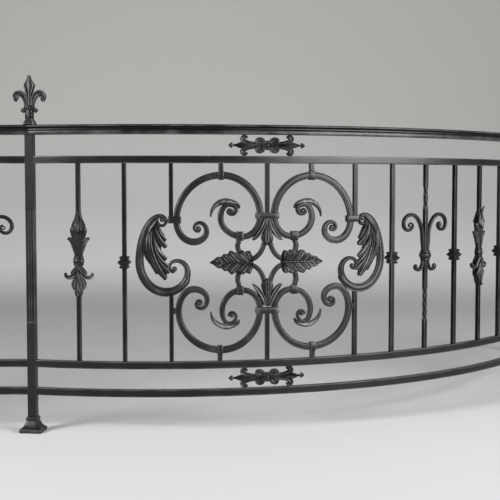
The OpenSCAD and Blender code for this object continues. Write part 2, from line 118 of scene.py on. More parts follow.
BOW_TURN = BOW_LEN / BOW_R - LEAD
POSTS = {
    "left": lay_turned(-STRAIGHT_LEN, 0.0, 0.0),
    "middle": lay_turned(0.0, 0.0, -LEAD / 2),
    "right": lay_turned(
        BOW_X + BOW_R * math.sin(BOW_TURN),
        BOW_Y - BOW_R * math.cos(BOW_TURN),
        BOW_TURN,
    ),
}
BAYS = {
    "straight": {
        "lay": lay_straight,
        "panels": [-774],
        "knuckles": [-312, -1236],
        "leaf": [-1386],
        "lily": [-162],
    },
    "bow": {
        "lay": lay_bow,
        "panels": [774, 2298],
        "knuckles": [312, 1236, 1536, 1836, 2760],
        "leaf": [162, 1686],
        "lily": [1386, 2910],
    },
}


def outward(verts, quads, tris, relief):
    """Turns a closed shell's faces outwards, by the sign of the volume that they enclose."""
    fan = np.concatenate([quads[:, [0, 1, 2]], quads[:, [0, 2, 3]], tris])
    a, b, c = (verts[fan[:, i]] - verts.mean(0) for i in range(3))
    if np.einsum("ij,ij->i", a, np.cross(b, c)).sum() < 0:
        quads, tris = quads[:, ::-1], tris[:, ::-1]
    return verts, quads, tris, relief


def tube(rings, relief):
    """A closed skin over rings of points (rows, around, 3), with a middle point closing each end."""
    rows, around = rings.shape[:2]
    i, j = np.meshgrid(np.arange(rows - 1), np.arange(around), indexing="ij")
    k = (j + 1) % around
    corners = [i * around + j, i * around + k, (i + 1) * around + k, (i + 1) * around + j]
    quads = np.stack(corners, -1).reshape(-1, 4)
    verts = np.concatenate([rings.reshape(-1, 3), rings[:1].mean(1), rings[-1:].mean(1)])
    first = np.arange(around)
    after = (first + 1) % around
    last = first + (rows - 1) * around
    tris = np.concatenate([
        np.stack([after, first, np.full(around, rows * around)], -1),
        np.stack([last, after + (rows - 1) * around, np.full(around, rows * around + 1)], -1),
    ])
    relief = np.broadcast_to(relief, (rows, around)).reshape(-1)
    return outward(verts, quads, tris, np.concatenate([relief, relief[:1], relief[-1:]]))


def scroll_line(points, plumb=True, fine=4.0):
    """A chain of quarter ellipses between points where a scroll runs plumb and level by turns.

    Each point is (across, up, width). A quarter that leaves plumb goes across by 1 - cos t and
    up by sin t; one that leaves level swaps the two. A short bell smooths the joins.
    """
    line = []
    for i, (p, q) in enumerate(zip(points[:-1], points[1:])):
        n = int(max(6, (abs(q[0] - p[0]) + abs(q[1] - p[1])) / fine))
        t = np.linspace(0, math.pi / 2, n + 1)[1 if i else 0:]
        slow, fast = 1 - np.cos(t), np.sin(t)
        if plumb == bool(i % 2):
            slow, fast = fast, slow
        line.append(np.stack([
            p[0] + (q[0] - p[0]) * slow,
            p[1] + (q[1] - p[1]) * fast,
            p[2] + (q[2] - p[2]) * t / (math.pi / 2),
        ], -1))
    line = np.concatenate(line)
    bell = np.hanning(7)[1:-1]
    bell /= bell.sum()
    padded = np.pad(line, ((2, 2), (0, 0)), mode="reflect", reflect_type="odd")
    return np.stack([np.convolve(padded[:, c], bell, "valid") for c in range(3)], -1)


def bent_line(points, n):
    """A smooth line of n points through a few, by cubic blending of neighbours."""
    p = np.asarray(points, float)
    p = np.concatenate([2 * p[:1] - p[1:2], p, 2 * p[-1:] - p[-2:-1]])
    x = np.linspace(0, len(p) - 3 - 1e-9, n)
    i = x.astype(int)
    f = (x - i)[:, None]
    a, b, c, d = p[i], p[i + 1], p[i + 2], p[i + 3]
    twice = 2 * b + (c - a) * f + (2 * a - 5 * b + 4 * c - d) * f ** 2 + (3 * b - a - 3 * c + d) * f ** 3
    return 0.5 * twice


# Sections are (across, depth, relief) in half widths and half depths, once round
# Relief near 1 gives the rubbing tone and painted highlight, and relief near 0 painted shade.
def round_section(n=20, power=0.75):
    """A flattened round: cosine and sine, each drawn out to a power below one."""
    t = np.linspace(0, 2 * math.pi, n, endpoint=False)
    c, s = np.cos(t), np.sin(t)
    return np.stack([np.sign(c) * abs(c) ** power, np.sign(s) * abs(s) ** power, abs(s) * 0.4], -1)


def mirrored_section(quarter):
    """A whole section from a quarter of it, (across, depth, relief), mirrored both ways."""
    quarter = np.asarray(quarter, float)
    front = np.concatenate([quarter, quarter[::-1][1:] * (-1, 1, 1)])
    return np.concatenate([front, (front[::-1] * (1, -1, 1))[1:-1]])


def crowned_section():
    """A broad crowned bar: a raised edge, a groove inside it and a round crown between."""
    return mirrored_section([
        (1.0, 0.0, 0.4), (1.0, 0.46, 0.6), (0.97, 0.60, 0.9), (0.90, 0.68, 1.0),
        (0.80, 0.66, 0.6), (0.71, 0.56, 0.1), (0.63, 0.56, 0.0), (0.54, 0.70, 0.2),
        (0.40, 0.86, 0.6), (0.20, 0.97, 0.8), (0.0, 1.0, 0.8),
    ])


def forged_section():
    """A forged flat: a level face, and an eased edge set off by a fine groove."""
    return mirrored_section([
        (1.0, 0.0, 0.3), (1.0, 0.60, 0.5), (0.97, 0.76, 0.9), (0.91, 0.86, 1.0),
        (0.84, 0.88, 0.8), (0.77, 0.81, 0.1), (0.70, 0.80, 0.0), (0.63, 0.89, 0.3),
        (0.54, 0.97, 0.7), (0.40, 1.0, 0.6), (0.0, 1.0, 0.5),
    ])


def four_turns(side):
    """One side of a square section carried round all four, by quarter turns of its first two columns."""
    turns = [side]
    for _ in range(3):
        last = turns[-1]
        turns.append(np.column_stack([-last[:, 1], last[:, 0], last[:, 2:]]))
    return np.concatenate(turns)


def square_section(ease, n):
    """A square with eased corners: a quarter round of n points at each, ease of the half side wide."""
    t = np.linspace(0, math.pi / 2, n)
    corner = np.stack([1 - ease + ease * np.cos(t), 1 - ease + ease * np.sin(t), np.full(n, 1.0)], -1)
    flat = np.array([(1.0, -0.5, 0.3), (1.0, 0.0, 0.3), (1.0, 0.5, 0.3)])
    return four_turns(np.concatenate([flat, corner]))


def along(value, n):
    """A value at each of n places: one for all, a (first, last) tuple shared out evenly, or an array."""
    return np.linspace(*value, n) if isinstance(value, tuple) else np.broadcast_to(value, n)


CAP_RINGS = 4


def carried(line, depth, section, lay, blunt=0.5, lift=0.0, relief_level=1.0):
    """A section carried along a line (across, up, width) and closed with rounded ends.

    The section turns with the line, so its first axis stays square to it in the bay's face.
    An end shrinks by cos t while it goes out by sin t, blunt of the half width far. lift moves the
    section forward, and worn multiplies its relief, by amounts given along the line; the relief
    sets the rubbing tone and painted highlight where it is high, and painted shade where it is low.
    """
    path, width = line[:, :2], line[:, 2]
    values = (width, *(along(v, len(width)) for v in (depth, lift, relief_level)))
    run = np.gradient(path, axis=0)
    run /= np.linalg.norm(run, axis=1, keepdims=True)
    t = np.linspace(0, math.pi / 2, CAP_RINGS + 1)[1:]
    near, far = np.cos(t) * 0.98 + 0.02, np.sin(t) * blunt
    head = path[0] - run[0] * (far * width[0] / 2)[:, None]
    tail = path[-1] + run[-1] * (far * width[-1] / 2)[:, None]
    path = np.concatenate([head[::-1], path, tail])
    size = np.concatenate([near[::-1], np.ones(len(width)), near])
    run = np.pad(run, ((CAP_RINGS, CAP_RINGS), (0, 0)), mode="edge")
    width, depth, lift, relief_level = (np.pad(v, CAP_RINGS, mode="edge")[:, None] for v in values)
    across = section[:, 0] * (width * size[:, None]) / 2
    rings = lay(
        path[:, :1] - across * run[:, 1:],
        lift + section[:, 1] * (depth * size[:, None]) / 2,
        path[:, 1:] + across * run[:, :1],
    )
    return tube(rings, section[:, 2] * relief_level)


RIM = 0.75
RIM_FADE = 0.3
OVAL = 0.7
# The least relief inside a hollow blade, so its hollow is painted only a little in shade.
HOLLOW_RELIEF = 0.3


def petal(line, thick, lay, lift=0.0, flutes=0, flute=0.0, around=20, hollow=0.0, lean=0.0, relief_level=1.0):
    """A leaf blade on a line (across, up, width): an oval, plain, fluted or hollow on its faces.

    A plain face stands out by the sine round the section to the power 0.7, and a fluted one by that
    times 1 + flute x cos(flutes x pi x across). A hollow face is highest at a rim three quarters
    of the way out, falls to the edge by a quarter round, and sinks by the share hollow to its middle
    with the square of across. lean lowers one rim. The relief is high on rims, crests and flute
    ridges, which take the rubbing tone and painted highlight, and low in the grooves, on the sides of
    a plain blade and, less so, in a hollow, which are painted in shade; lean lowers one rim's relief
    too, so that side is painted darker, and worn scales the relief along the line.
    """
    t = np.linspace(0, 2 * math.pi, around, endpoint=False)
    a, b = np.cos(t), np.sin(t)
    out = np.abs(a)
    if hollow:
        dip = hollow * np.clip(1 - (a / RIM) ** 2, 0, 1)
        fall = np.sqrt(np.clip(1 - (np.clip(out - RIM, 0, 1) / (1 - RIM)) ** 2, 0, 1))
        tilt = 1 - lean * np.clip(0.5 - a / (2 * RIM), 0, 1)
        face = np.sign(b) * (1 - dip) * fall * tilt
        relief = np.clip(1.15 - np.abs(out - RIM) / RIM_FADE, 0, 1) * np.where(a < 0, 1 - lean, 1)
        relief = np.maximum(relief, np.where(out < RIM, HOLLOW_RELIEF, 0))
    elif flutes:
        wave = np.cos(flutes * math.pi * a)
        face = np.sign(b) * abs(b) ** OVAL * (1 + flute * wave)
        relief = 0.45 + 0.55 * wave * abs(b)
    else:
        face = np.sign(b) * abs(b) ** OVAL
        relief = 0.95 * abs(b) ** 2
    return carried(line, thick, np.stack([a, face, relief], -1), lay, 0.6, lift, relief_level)


VEIN_WIDTH = 0.014


def half_leaf(rib, edge, lay, veins, thick, lift, rise, n, relief_level=1.0, sweep=1.0):
    """Half a leaf blade, drawn from its rib out to its lobed edge and closed with a flat back.

    The face lifts by rise towards a rim, as the cube of the last part of the way out, and at each
    vein, which is a bell curve along the leaf that runs out to a lobe; every second vein is weaker.
    The rim and the veins are the relief, so they take the rubbing tone and painted highlight, while
    the face near the rib, between the veins and at the very edge is painted in shade; worn scales
    the relief. The veins leave the rib at a slant, their height growing as the way out to the power sweep.
    """
    rib, edge = bent_line(rib, n)[:, None], bent_line(edge, n)[:, None]
    w = np.linspace(0, 1, 9)
    way = np.linspace(0, 1, n)[:, None]
    bells = [np.zeros((n, 1))]
    for i, k in enumerate(veins):
        bells.append((1 - 0.4 * (i % 2)) * np.exp(-((way - k) / VEIN_WIDTH) ** 2))
    vein = np.max(bells, 0) * np.clip(4 * w * (1 - 0.72 * w), 0, 1)
    rim = np.broadcast_to(np.clip((w - 0.6) / 0.35, 0, 1) ** 3, vein.shape)
    front = lift + rise * np.maximum(rim, vein)
    front[:, -1] -= rise * 0.7
    back = np.full(vein.shape, lift - thick)
    flat = rib + (edge - rib) * np.stack([w, w ** sweep], -1)
    flat = np.concatenate([flat, flat[:, ::-1]], 1)
    rings = lay(flat[:, :, 0], np.concatenate([front, back[:, ::-1]], 1), flat[:, :, 1])
    relief = np.maximum(rim, vein * 0.8) * relief_level * np.where(w < 1, 1, 0)
    return tube(rings, np.concatenate([relief, relief[:, ::-1]], 1))


def stood(levels, section, lay, flat=1.0, relief=None):
    """A section stood up through levels of (half width, height), with its depth times flat."""
    levels = np.asarray(levels, float)
    flat = np.broadcast_to(flat, len(levels))
    rings = lay(
        levels[:, :1] * section[:, 0],
        levels[:, :1] * flat[:, None] * section[:, 1],
        np.broadcast_to(levels[:, 1:2], (len(levels), len(section))),
    )
    return tube(rings, section[:, 2][None, :] if relief is None else np.asarray(relief)[:, None])


def eased(levels, n):
    """Half widths and heights with n steps between the given levels, by cubic blending."""
    return bent_line(levels, n * (len(levels) - 1) + 1)


def bead(lay, radius, around, flat):
    """A small ball: half widths by sine and heights by cosine, with its depth times flat."""
    t = np.linspace(0.12, math.pi - 0.12, 11)
    levels = np.stack([radius * np.sin(t), -radius * np.cos(t)], -1)
    return stood(levels, round_section(around, 0.95), lay, flat)


def eye(lay, u, v, radius, deep=BAR):
    """The snub end in the middle of a curl: a round boss with a domed face on both sides.

    Its radius goes by the sine to the power 0.6 while its depth goes by the cosine.
    """
    t = np.linspace(0.1, math.pi - 0.1, 13)[:, None]
    around = np.linspace(0, 2 * math.pi, 24, endpoint=False)
    ring = radius * np.sin(t) ** 0.6
    off = np.broadcast_to(-np.cos(t) * deep / 2, (len(t), len(around)))
    return tube(lay(u + ring * np.cos(around), off, v + ring * np.sin(around)), np.abs(np.cos(t)) * 0.8)


def run_along(profile, s0, s1, lay, steps, skew0=0.0, skew1=0.0):
    """A profile of (off, z, relief) run along a bay from s0 to s1, each end slanted by its skew."""
    off, z, relief = profile.T
    start = s0 + skew0 * off
    stop = s1 + skew1 * off
    s = start + (stop - start) * np.linspace(0, 1, steps + 1)[:, None]
    return tube(lay(s, np.broadcast_to(off, s.shape), np.broadcast_to(z, s.shape)), relief)


def piece(name, nodes, slot, material, shells, sharp=40):
    """Joins shells into one mesh in metres that stands for the named solids.

    Edges that bend by more than sharp degrees stay crisp.
    """
    shells = list(shells)
    starts = np.cumsum([0] + [len(s[0]) for s in shells[:-1]])
    verts = np.concatenate([s[0] for s in shells]) * 0.001
    quads = np.concatenate([s[1] + n for s, n in zip(shells, starts)])
    tris = np.concatenate([s[2] + n for s, n in zip(shells, starts)])
    relief = np.concatenate([s[3] for s in shells])
    mesh = bpy.data.meshes.new(name)
    mesh.vertices.add(len(verts))
    mesh.vertices.foreach_set("co", verts.astype(np.float32).ravel())
    corners = np.concatenate([quads.ravel(), tris.ravel()]).astype(np.int32)
    sizes = np.concatenate([np.full(len(quads), 4), np.full(len(tris), 3)])
    loop_starts = np.concatenate([[0], np.cumsum(sizes)[:-1]]).astype(np.int32)
    mesh.loops.add(len(corners))
    mesh.loops.foreach_set("vertex_index", corners)
    mesh.polygons.add(len(sizes))
    mesh.polygons.foreach_set("loop_start", loop_starts)
    mesh.update(calc_edges=True)
    mesh.validate()
    mesh.shade_smooth()
    mesh.set_sharp_from_angle(angle=math.radians(sharp))
    # The relief steers the iron finish: high relief takes the rubbing tone and painted highlight, low relief
    # painted shade.
    held = mesh.attributes.new("relief", "FLOAT", "POINT")
    held.data.foreach_set("value", relief.astype(np.float32))
    mesh.materials.append(material)
    obj = bpy.data.objects.new(name, mesh)
    bpy.context.collection.objects.link(obj)
    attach(obj, "root")
    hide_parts(*nodes)


# Finishes


def feed(tree, socket, value):
    """Gives an input its value: a link from another node's output, or a plain value."""
    if isinstance(value, bpy.types.NodeSocket):
        tree.links.new(value, socket)
    else:
        socket.default_value = value


def add_node(tree, kind, **values):
    """A node with its values, each fed to the input of that name or else kept as a setting."""
    made = tree.nodes.new(kind)
    for key, value in values.items():
        if key in made.inputs:
            feed(tree, made.inputs[key], value)
        else:
            setattr(made, key, value)
    return made


def reckoned(tree, operation, *values, kind="ShaderNodeMath"):
    """The result of a Math node, or of another kind that takes an operation, on the given values."""
    made = add_node(tree, kind, operation=operation)
    for socket, value in zip(made.inputs, values):
        feed(tree, socket, value)
    return made.outputs[0]


def remapped(tree, value, low, high, to_low=0.0, to_high=1.0):
    """A value carried from one range to another and held within it."""
    ends = {"From Min": low, "From Max": high, "To Min": to_low, "To Max": to_high}
    return add_node(tree, "ShaderNodeMapRange", Value=value, **ends).outputs["Result"]


def mixed(tree, factor, a, b, blend="MIX"):
    """The colour that a Mix node makes of a and b."""
    made = add_node(tree, "ShaderNodeMix", data_type="RGBA", blend_type=blend, Factor=factor, A=a, B=b)
    return made.outputs["Result"]


def satin_iron_group():
    """Graphite paint on forged iron: cloudy, lighter on raised parts as rubbing wear with painted highlight,
    darkened with painted shade where the relief is low, pitted and brushed.
    """
    group = bpy.data.node_groups.new("satin_iron", "ShaderNodeTree")
    for label, kind, value in (
        ("Tone", "NodeSocketColor", (0.02, 0.02, 0.02, 1)),
        ("Rubbed", "NodeSocketColor", (0.08, 0.08, 0.08, 1)),
        ("Pitting", "NodeSocketFloat", 0.5),
        ("Roughness", "NodeSocketFloat", 0.45),
    ):
        group.interface.new_socket(label, in_out="INPUT", socket_type=kind).default_value = value
    for label, kind in (("Color", "Color"), ("Roughness", "Float"), ("Height", "Float")):
        group.interface.new_socket(label, in_out="OUTPUT", socket_type="NodeSocket" + kind)
    given = group.nodes.new("NodeGroupInput").outputs
    out = group.nodes.new("NodeGroupOutput").inputs
    link = group.links.new

    where = add_node(group, "ShaderNodeTexCoord").outputs["Object"]
    relief = add_node(group, "ShaderNodeAttribute", attribute_name="relief").outputs["Fac"]
    noises = []
    for scale, detail, roughness in ((14.0, 4.0, 0.6), (260.0, 4.0, 0.7), (75.0, 2.0, 0.5)):
        noise = add_node(group, "ShaderNodeTexNoise", Vector=where, Scale=scale, Detail=detail,
                         Roughness=roughness)
        noises.append(noise.outputs["Fac"])
    cloud, grain, dents = noises

    # Raised parts take the lighter tone: partly rubbing wear on the iron, partly painted highlight.
    edges = remapped(group, reckoned(group, "MULTIPLY", relief, cloud), 0.28, 0.6)
    tone = mixed(group, edges, given["Tone"], given["Rubbed"])
    shade = remapped(group, cloud, 0.3, 0.7, 0.72, 1.25)
    # Painted shade: low relief in grooves, hollows and under overhangs darkens the colour to as little as
    # 0.18 of it; the cloud above is a random tone.
    painted_recess_shade = remapped(group, relief, 0.0, 0.35, 0.18, 1.0)
    depth = reckoned(group, "MULTIPLY", shade, painted_recess_shade)
    link(mixed(group, 1.0, tone, depth, "MULTIPLY"), out["Color"])
    link(reckoned(group, "MULTIPLY_ADD", grain, 0.26, given["Roughness"]), out["Roughness"])
    pits = reckoned(group, "MULTIPLY", grain, given["Pitting"])
    link(reckoned(group, "ADD", pits, dents), out["Height"])
    return group


SATIN_IRON = satin_iron_group()
BUMP_HEIGHT = 0.0006


def iron(name, tone, rubbed_highlight, roughness, pitting=0.6, bump=0.5, shine=0.27):
    """One finish of the railing, from the shared group with its own values."""
    material = bpy.data.materials.new(name)
    material.use_nodes = True
    tree = material.node_tree
    shader = tree.nodes["Principled BSDF"].inputs
    finish = add_node(tree, "ShaderNodeGroup", node_tree=SATIN_IRON, Tone=(*tone, 1), Rubbed=(*rubbed_highlight, 1),
                      Pitting=pitting, Roughness=roughness).outputs
    raised = add_node(tree, "ShaderNodeBump", Height=finish["Height"], Strength=bump, Distance=BUMP_HEIGHT)
    feed(tree, shader["Specular IOR Level"], shine)
    feed(tree, shader["Base Color"], finish["Color"])
    feed(tree, shader["Roughness"], finish["Roughness"])
    feed(tree, shader["Normal"], raised.outputs["Normal"])
    return material


GRAPHITE = (0.006, 0.0061, 0.0063)
DEEP_GRAPHITE = (0.005, 0.0051, 0.0053)
CAST_GRAPHITE = (0.008, 0.008, 0.0082)
# The lighter tones that raised parts take: rubbing wear on the iron and painted highlight, brighter on the
# castings.
DULL_RUB_HIGHLIGHT = (0.045, 0.045, 0.046)
BRIGHT_RUB_HIGHLIGHT = (0.210, 0.210, 0.213)
BAR_IRON = iron("bar_iron", GRAPHITE, DULL_RUB_HIGHLIGHT, roughness=0.25)
UPRIGHT_IRON = iron("upright_iron", DEEP_GRAPHITE, DULL_RUB_HIGHLIGHT, roughness=0.25, shine=0.17)
RAIL_IRON = iron("rail_iron", DEEP_GRAPHITE, DULL_RUB_HIGHLIGHT, roughness=0.22, bump=0.4)
CAST_IRON = iron("cast_iron", CAST_GRAPHITE, BRIGHT_RUB_HIGHLIGHT, roughness=0.24, pitting=0.9)


# Posts, feet and finials


FLUTED_FROM = 358
FLUTED_TO = 732


def post_shaft(lay):
    """A square shaft with three flutes a face, cut square at the ends of a middle stretch.

    Across a flute the depth is one less the cube of the way from its middle, and along the shaft
    it grows as a square root over the first and last 6 mm. In the fluted stretch the ridges between
    flutes have full relief, for the rubbing tone and painted highlight, and the flutes none, so they
    are painted in shade; outside it the corners have full relief and the faces less.
    """
    x = np.linspace(-1, 1, 61)[:-1]
    cell = (x + 0.87) % 0.58 - 0.29
    groove = np.clip(1 - (np.abs(cell) / 0.21) ** 3, 0, 1) * (np.abs(x) < 0.86)
    plain = np.where(np.abs(x) > 0.9, 1, 0.45)
    a, b, groove, plain = four_turns(np.stack([np.ones_like(x), x, groove, plain], -1)).T
    corner = np.minimum(1.0, 1.0 / (np.maximum(0, np.abs(a) + np.abs(b) - 1.9) * 0.9 + 1))
    z = np.concatenate([np.linspace(7, 354, 12), np.linspace(357, 366, 10), np.linspace(380, 712, 9),
                        np.linspace(724, 733, 10), np.linspace(738, HAND_BOT, 8)])
    depth = np.clip(np.minimum((z - FLUTED_FROM) / 6, (FLUTED_TO - z) / 6), 0, 1)[:, None] ** 0.5
    inset = 1 - 0.2 * depth * groove
    across = np.where(np.abs(a) >= np.abs(b), inset, 1) * a * corner * POST_HALF
    deep = np.where(np.abs(b) > np.abs(a), inset, 1) * b * corner * POST_HALF
    rings = lay(across, deep, np.broadcast_to(z[:, None], across.shape))
    return tube(rings, plain + (1 - groove - plain) * depth)


def foot(lay):
    """A cast square shoe: a plinth, a hollow flare and a collar round the shaft."""
    plinth = [(35, 0), (36.6, 1), (37, 3), (37, 10.5), (36.4, 11.6), (34, 12.4), (33.4, 13.4), (31, 14),
              (30.4, 15)]
    flare = eased([(30.4, 15), (26.8, 19), (23.2, 25), (20.4, 31), (18.6, 36), (17.6, 39)], 5)[1:]
    top = [(18.8, 39.6), (19.2, 41), (19.2, 46), (18.6, 48.2), (17.4, 49.6), (16.4, 50), (14.2, 50)]
    levels = np.concatenate([plinth, flare, top])
    # Relief along the height: the plinth and the collar get the rubbing tone and painted highlight, and the
    # flare between, at 0.3, is painted a little in shade.
    relief_level = np.interp(levels[:, 1], [0, 11, 14, 36, 44], [0.6, 0.75, 0.3, 0.3, 0.7])
    return stood(levels, square_section(0.16, 4), lay, relief=relief_level)


def finial(lay):
    """A fleur-de-lis: a flared base, a lobed bulb, a tied band with two small curls, and three petals.

    The side petals are hollow and curl over; the middle one is a spear with a crest and two ribs.
    """
    lay = moved(lay, 0, RAIL_TOP)
    base = np.concatenate([
        [(18.6, 0), (19.4, 0.8), (19.2, 3)],
        eased([(18.4, 5), (16.4, 10), (14.6, 14.5)], 4),
        [(13.2, 15.2), (12.6, 16.4), (12.6, 20), (11.6, 21)],
    ])
    bulb = eased([(10.4, 20), (12.4, 24), (14, 29), (13.8, 34), (12.2, 39), (11.4, 46)], 5)
    tied_band = eased([(14.4, 45.5), (16.4, 47), (17, 49.6), (15.4, 52), (17, 54.4), (17.6, 57.4), (16.6, 60),
                       (14.2, 61.6)], 4)
    boss = eased([(3, 45), (6.6, 48), (8.2, 53), (7.2, 58), (3.6, 62)], 4)
    yield stood(base, square_section(0.15, 4), lay, 0.95)
    yield stood(bulb, round_section(28, 0.7), lay, 0.9)
    yield stood(tied_band, round_section(28, 0.6), lay, 0.7)
    yield stood(boss, round_section(20, 0.8), lay, 1.75)
    lobe = bent_line([(0, 23, 9), (0, 30, 12.5), (0, 37, 10)], 14)
    for turn in range(4):
        yield petal(lobe, 6, lay_turned_from(lay, turn * math.pi / 2), 11.4, flutes=2, flute=0.25)
    curl = scroll_line([(9, 56, 6), (20, 41.2, 5.6), (25, 46.6, 5.4), (20, 51.4, 5), (16.2, 48, 4.4)],
                       fine=1.5)
    arm = scroll_line([(11, 58, 10.5), (33.5, 100.5, 24), (46, 88, 19), (43, 79.5, 13)], fine=1.6)
    thick = np.interp(np.linspace(0, 1, len(arm)), [0, 0.5, 0.85, 1], [14, 18, 20, 15])
    for side in both_sides(lay):
        yield carried(curl, 14, round_section(16), side)
        yield eye(side, 20, 46.8, 3.4, 15)
        yield petal(arm, thick, side, around=40, hollow=0.6)
    spear = bent_line([(0, 58, 12), (0, 80, 15), (0, 94, 20), (0, 107, 29), (0, 119, 36), (0, 127, 39),
                       (0, 132, 34), (0, 138, 24.5), (0, 144, 17.6), (0, 151, 13.4), (0, 156, 11)], 56)
    crest = bent_line([(0, 58, 6), (0, 100, 8), (0, 127, 10), (0, 146, 8), (0, 156, 5)], 40)
    heights = [56, 100, 127, 145, 157]
    spear_thick = np.interp(spear[:, 1], heights, [12, 13, 15, 13, 9])
    crest_thick = np.interp(crest[:, 1], heights, [18, 21, 23, 18, 10])
    yield petal(spear, spear_thick, lay, flutes=2, flute=0.3, around=40)
    yield petal(crest, crest_thick, lay, around=14, relief_level=0.8)
    rib = bent_line([(4.6, 82, 3), (7.4, 98, 4.6), (11.4, 112, 5.6), (15.6, 124, 5.8), (15.2, 130.5, 3)], 26)
    for side in both_sides(lay):
        yield petal(rib, 19, side, around=14)


for label, lay in POSTS.items():
    piece(label + "_post_shaft", [label + "_post"], "bar", BAR_IRON, [post_shaft(lay)], 50)
piece("cast_feet", ["post_feet"], "casting", BAR_IRON, [foot(lay) for lay in POSTS.values()])
finials = [shell for lay in POSTS.values() for shell in finial(lay)]
piece("fleur_finials", ["finials"], "casting", CAST_IRON, finials, 55)


# Rails


def hand_moulding():
    """The handrail's profile: a low dome with a lip, a hollow cove and a square lower band."""
    # Points are (off, height, relief): the cove has no relief and is painted in shade, while the lower band's
    # edges, the lip and the dome's rim have the most, for the rubbing tone and painted highlight.
    side = np.array([
        (0, 0, 0.2), (14.6, 0, 0.3), (16.4, 0.6, 0.9), (17, 1.8, 1), (17, 10.8, 0.6), (16.4, 12.4, 1),
        (15, 13.2, 0.6), (13.2, 14.4, 0.1), (12.2, 16.6, 0), (12, 19, 0), (12.8, 21.8, 0), (15, 23.4, 0),
        (19, 24.2, 0.3), (22, 24.9, 1), (22.9, 26, 1),
    ])
    dome = bent_line([(22.9, 27.4, 0.9), (22.2, 29.4, 0.7), (19, 31, 0.4), (13, 31.8, 0.4), (6, 32, 0.4),
                      (0, 32, 0.4)], 16)
    half = np.concatenate([side, dome])
    whole = np.concatenate([half, half[::-1][1:-1] * (-1, 1, 1)])
    return whole + (0, HAND_BOT, 0)


def flat_bar(z0):
    """A flat rail's profile with eased corners, from its underside up."""
    shape = square_section(0.13, 4)
    return np.stack([shape[:, 0] * FLAT_D / 2, z0 + FLAT_H / 2 + shape[:, 1] * FLAT_H / 2, shape[:, 2]], -1)


MITRE = math.tan(LEAD / 2)
HANDRAIL_OVER = 22
STRAIGHT_STEPS = 40
BOW_STEPS = 220
# A rail goes past the outer posts' middles by over, and stops short of the middle post's by gap
for name, node, profile, over, gap, sharp in (
    ("moulded_handrail", "handrail", hand_moulding(), HANDRAIL_OVER, 0, 45),
    ("sub_rail_bar", "sub_rail", flat_bar(SUB_BOT), -POST_HALF, POST_HALF, 40),
    ("upper_bottom_rail_bar", "upper_bottom_rail", flat_bar(UP_BOT), -POST_HALF, POST_HALF, 40),
    ("lower_bottom_rail_bar", "lower_bottom_rail", flat_bar(LOW_BOT), -POST_HALF, POST_HALF, 40),
):
    straight = run_along(profile, -STRAIGHT_LEN - over, -gap, lay_straight, STRAIGHT_STEPS, 0, -MITRE)
    bowed = run_along(profile, gap, BOW_LEN + over, lay_bow, BOW_STEPS, MITRE, 0)
    piece("straight_" + name, ["straight_" + node], "bar", RAIL_IRON, [straight], sharp)
    piece("bow_" + name, ["bow_" + node], "bar", RAIL_IRON, [bowed], sharp)


# Upright bars and the castings on them


PLAIN_STEP = 40
TWIST_STEP = 2.5


def upright(lay, z0, z1, turns=0.0, twist=(0, 1)):
    """A square bar stood between two heights.

    In a twisted stretch its corners are rounded, and its angle grows evenly with height by turns.
    """
    z = np.linspace(z0, z1, max(2, int(abs(z1 - z0) / (TWIST_STEP if turns else PLAIN_STEP))))
    part = np.clip((z - twist[0]) / (twist[1] - twist[0]), 0, 1)
    rounding = (np.clip(np.minimum(part, 1 - part) * 8, 0, 1) * bool(turns))[:, None]
    plain, rounded = square_section(0.16, 4), square_section(0.6, 4)
    across = plain[:, 0] + (rounded[:, 0] - plain[:, 0]) * rounding
    deep = plain[:, 1] + (rounded[:, 1] - plain[:, 1]) * rounding
    angle = (part * turns * 2 * math.pi)[:, None]
    c, s = np.cos(angle) * BAR / 2, np.sin(angle) * BAR / 2
    rings = lay(c * across - s * deep, s * across + c * deep, np.broadcast_to(z[:, None], across.shape))
    return tube(rings, plain[:, 2][None, :])


def parted_bar(lay, above, below):
    """An upright that stops at the ironwork above and below the middle of its bay."""
    return [upright(lay, MID + above, SUB_BOT), upright(lay, UP_TOP, MID - below)]


def bay_bars(bay):
    """Every upright of a bay, from the upper bottom rail to the rail below the handrail."""
    lay = bay["lay"]
    for s in bay["knuckles"]:
        yield upright(moved(lay, s), UP_TOP, SUB_BOT)
    for s in bay["leaf"]:
        yield from parted_bar(moved(lay, s), 160, 110)
    for s in bay["lily"]:
        yield upright(moved(lay, s), MID + 10, SUB_BOT, 0.5, (722, 806))
        yield upright(moved(lay, s), UP_TOP, MID, 1.0, (332, 452))
    for c in bay["panels"]:
        yield from parted_bar(moved(lay, c), 140, 148)
        for side in (-PANEL_HALF, PANEL_HALF):
            yield from parted_bar(moved(lay, c + side), 127, 106)


def knuckle(lay):
    """A square cast knuckle: a sharp double taper between two small flanges."""
    lower = np.array([(7.4, -20), (11, -20), (13, -19), (15, -16.2), (15.3, -15), (14.6, -13.6),
                      (12.4, -10.8), (12.2, -9.6), (14, -7.6), (20.1, -0.8)])
    levels = np.concatenate([lower, [(20.5, 0)], lower[::-1] * (1, -1)])
    return stood(levels, square_section(0.1, 3), moved(lay, 0, MID + 2))


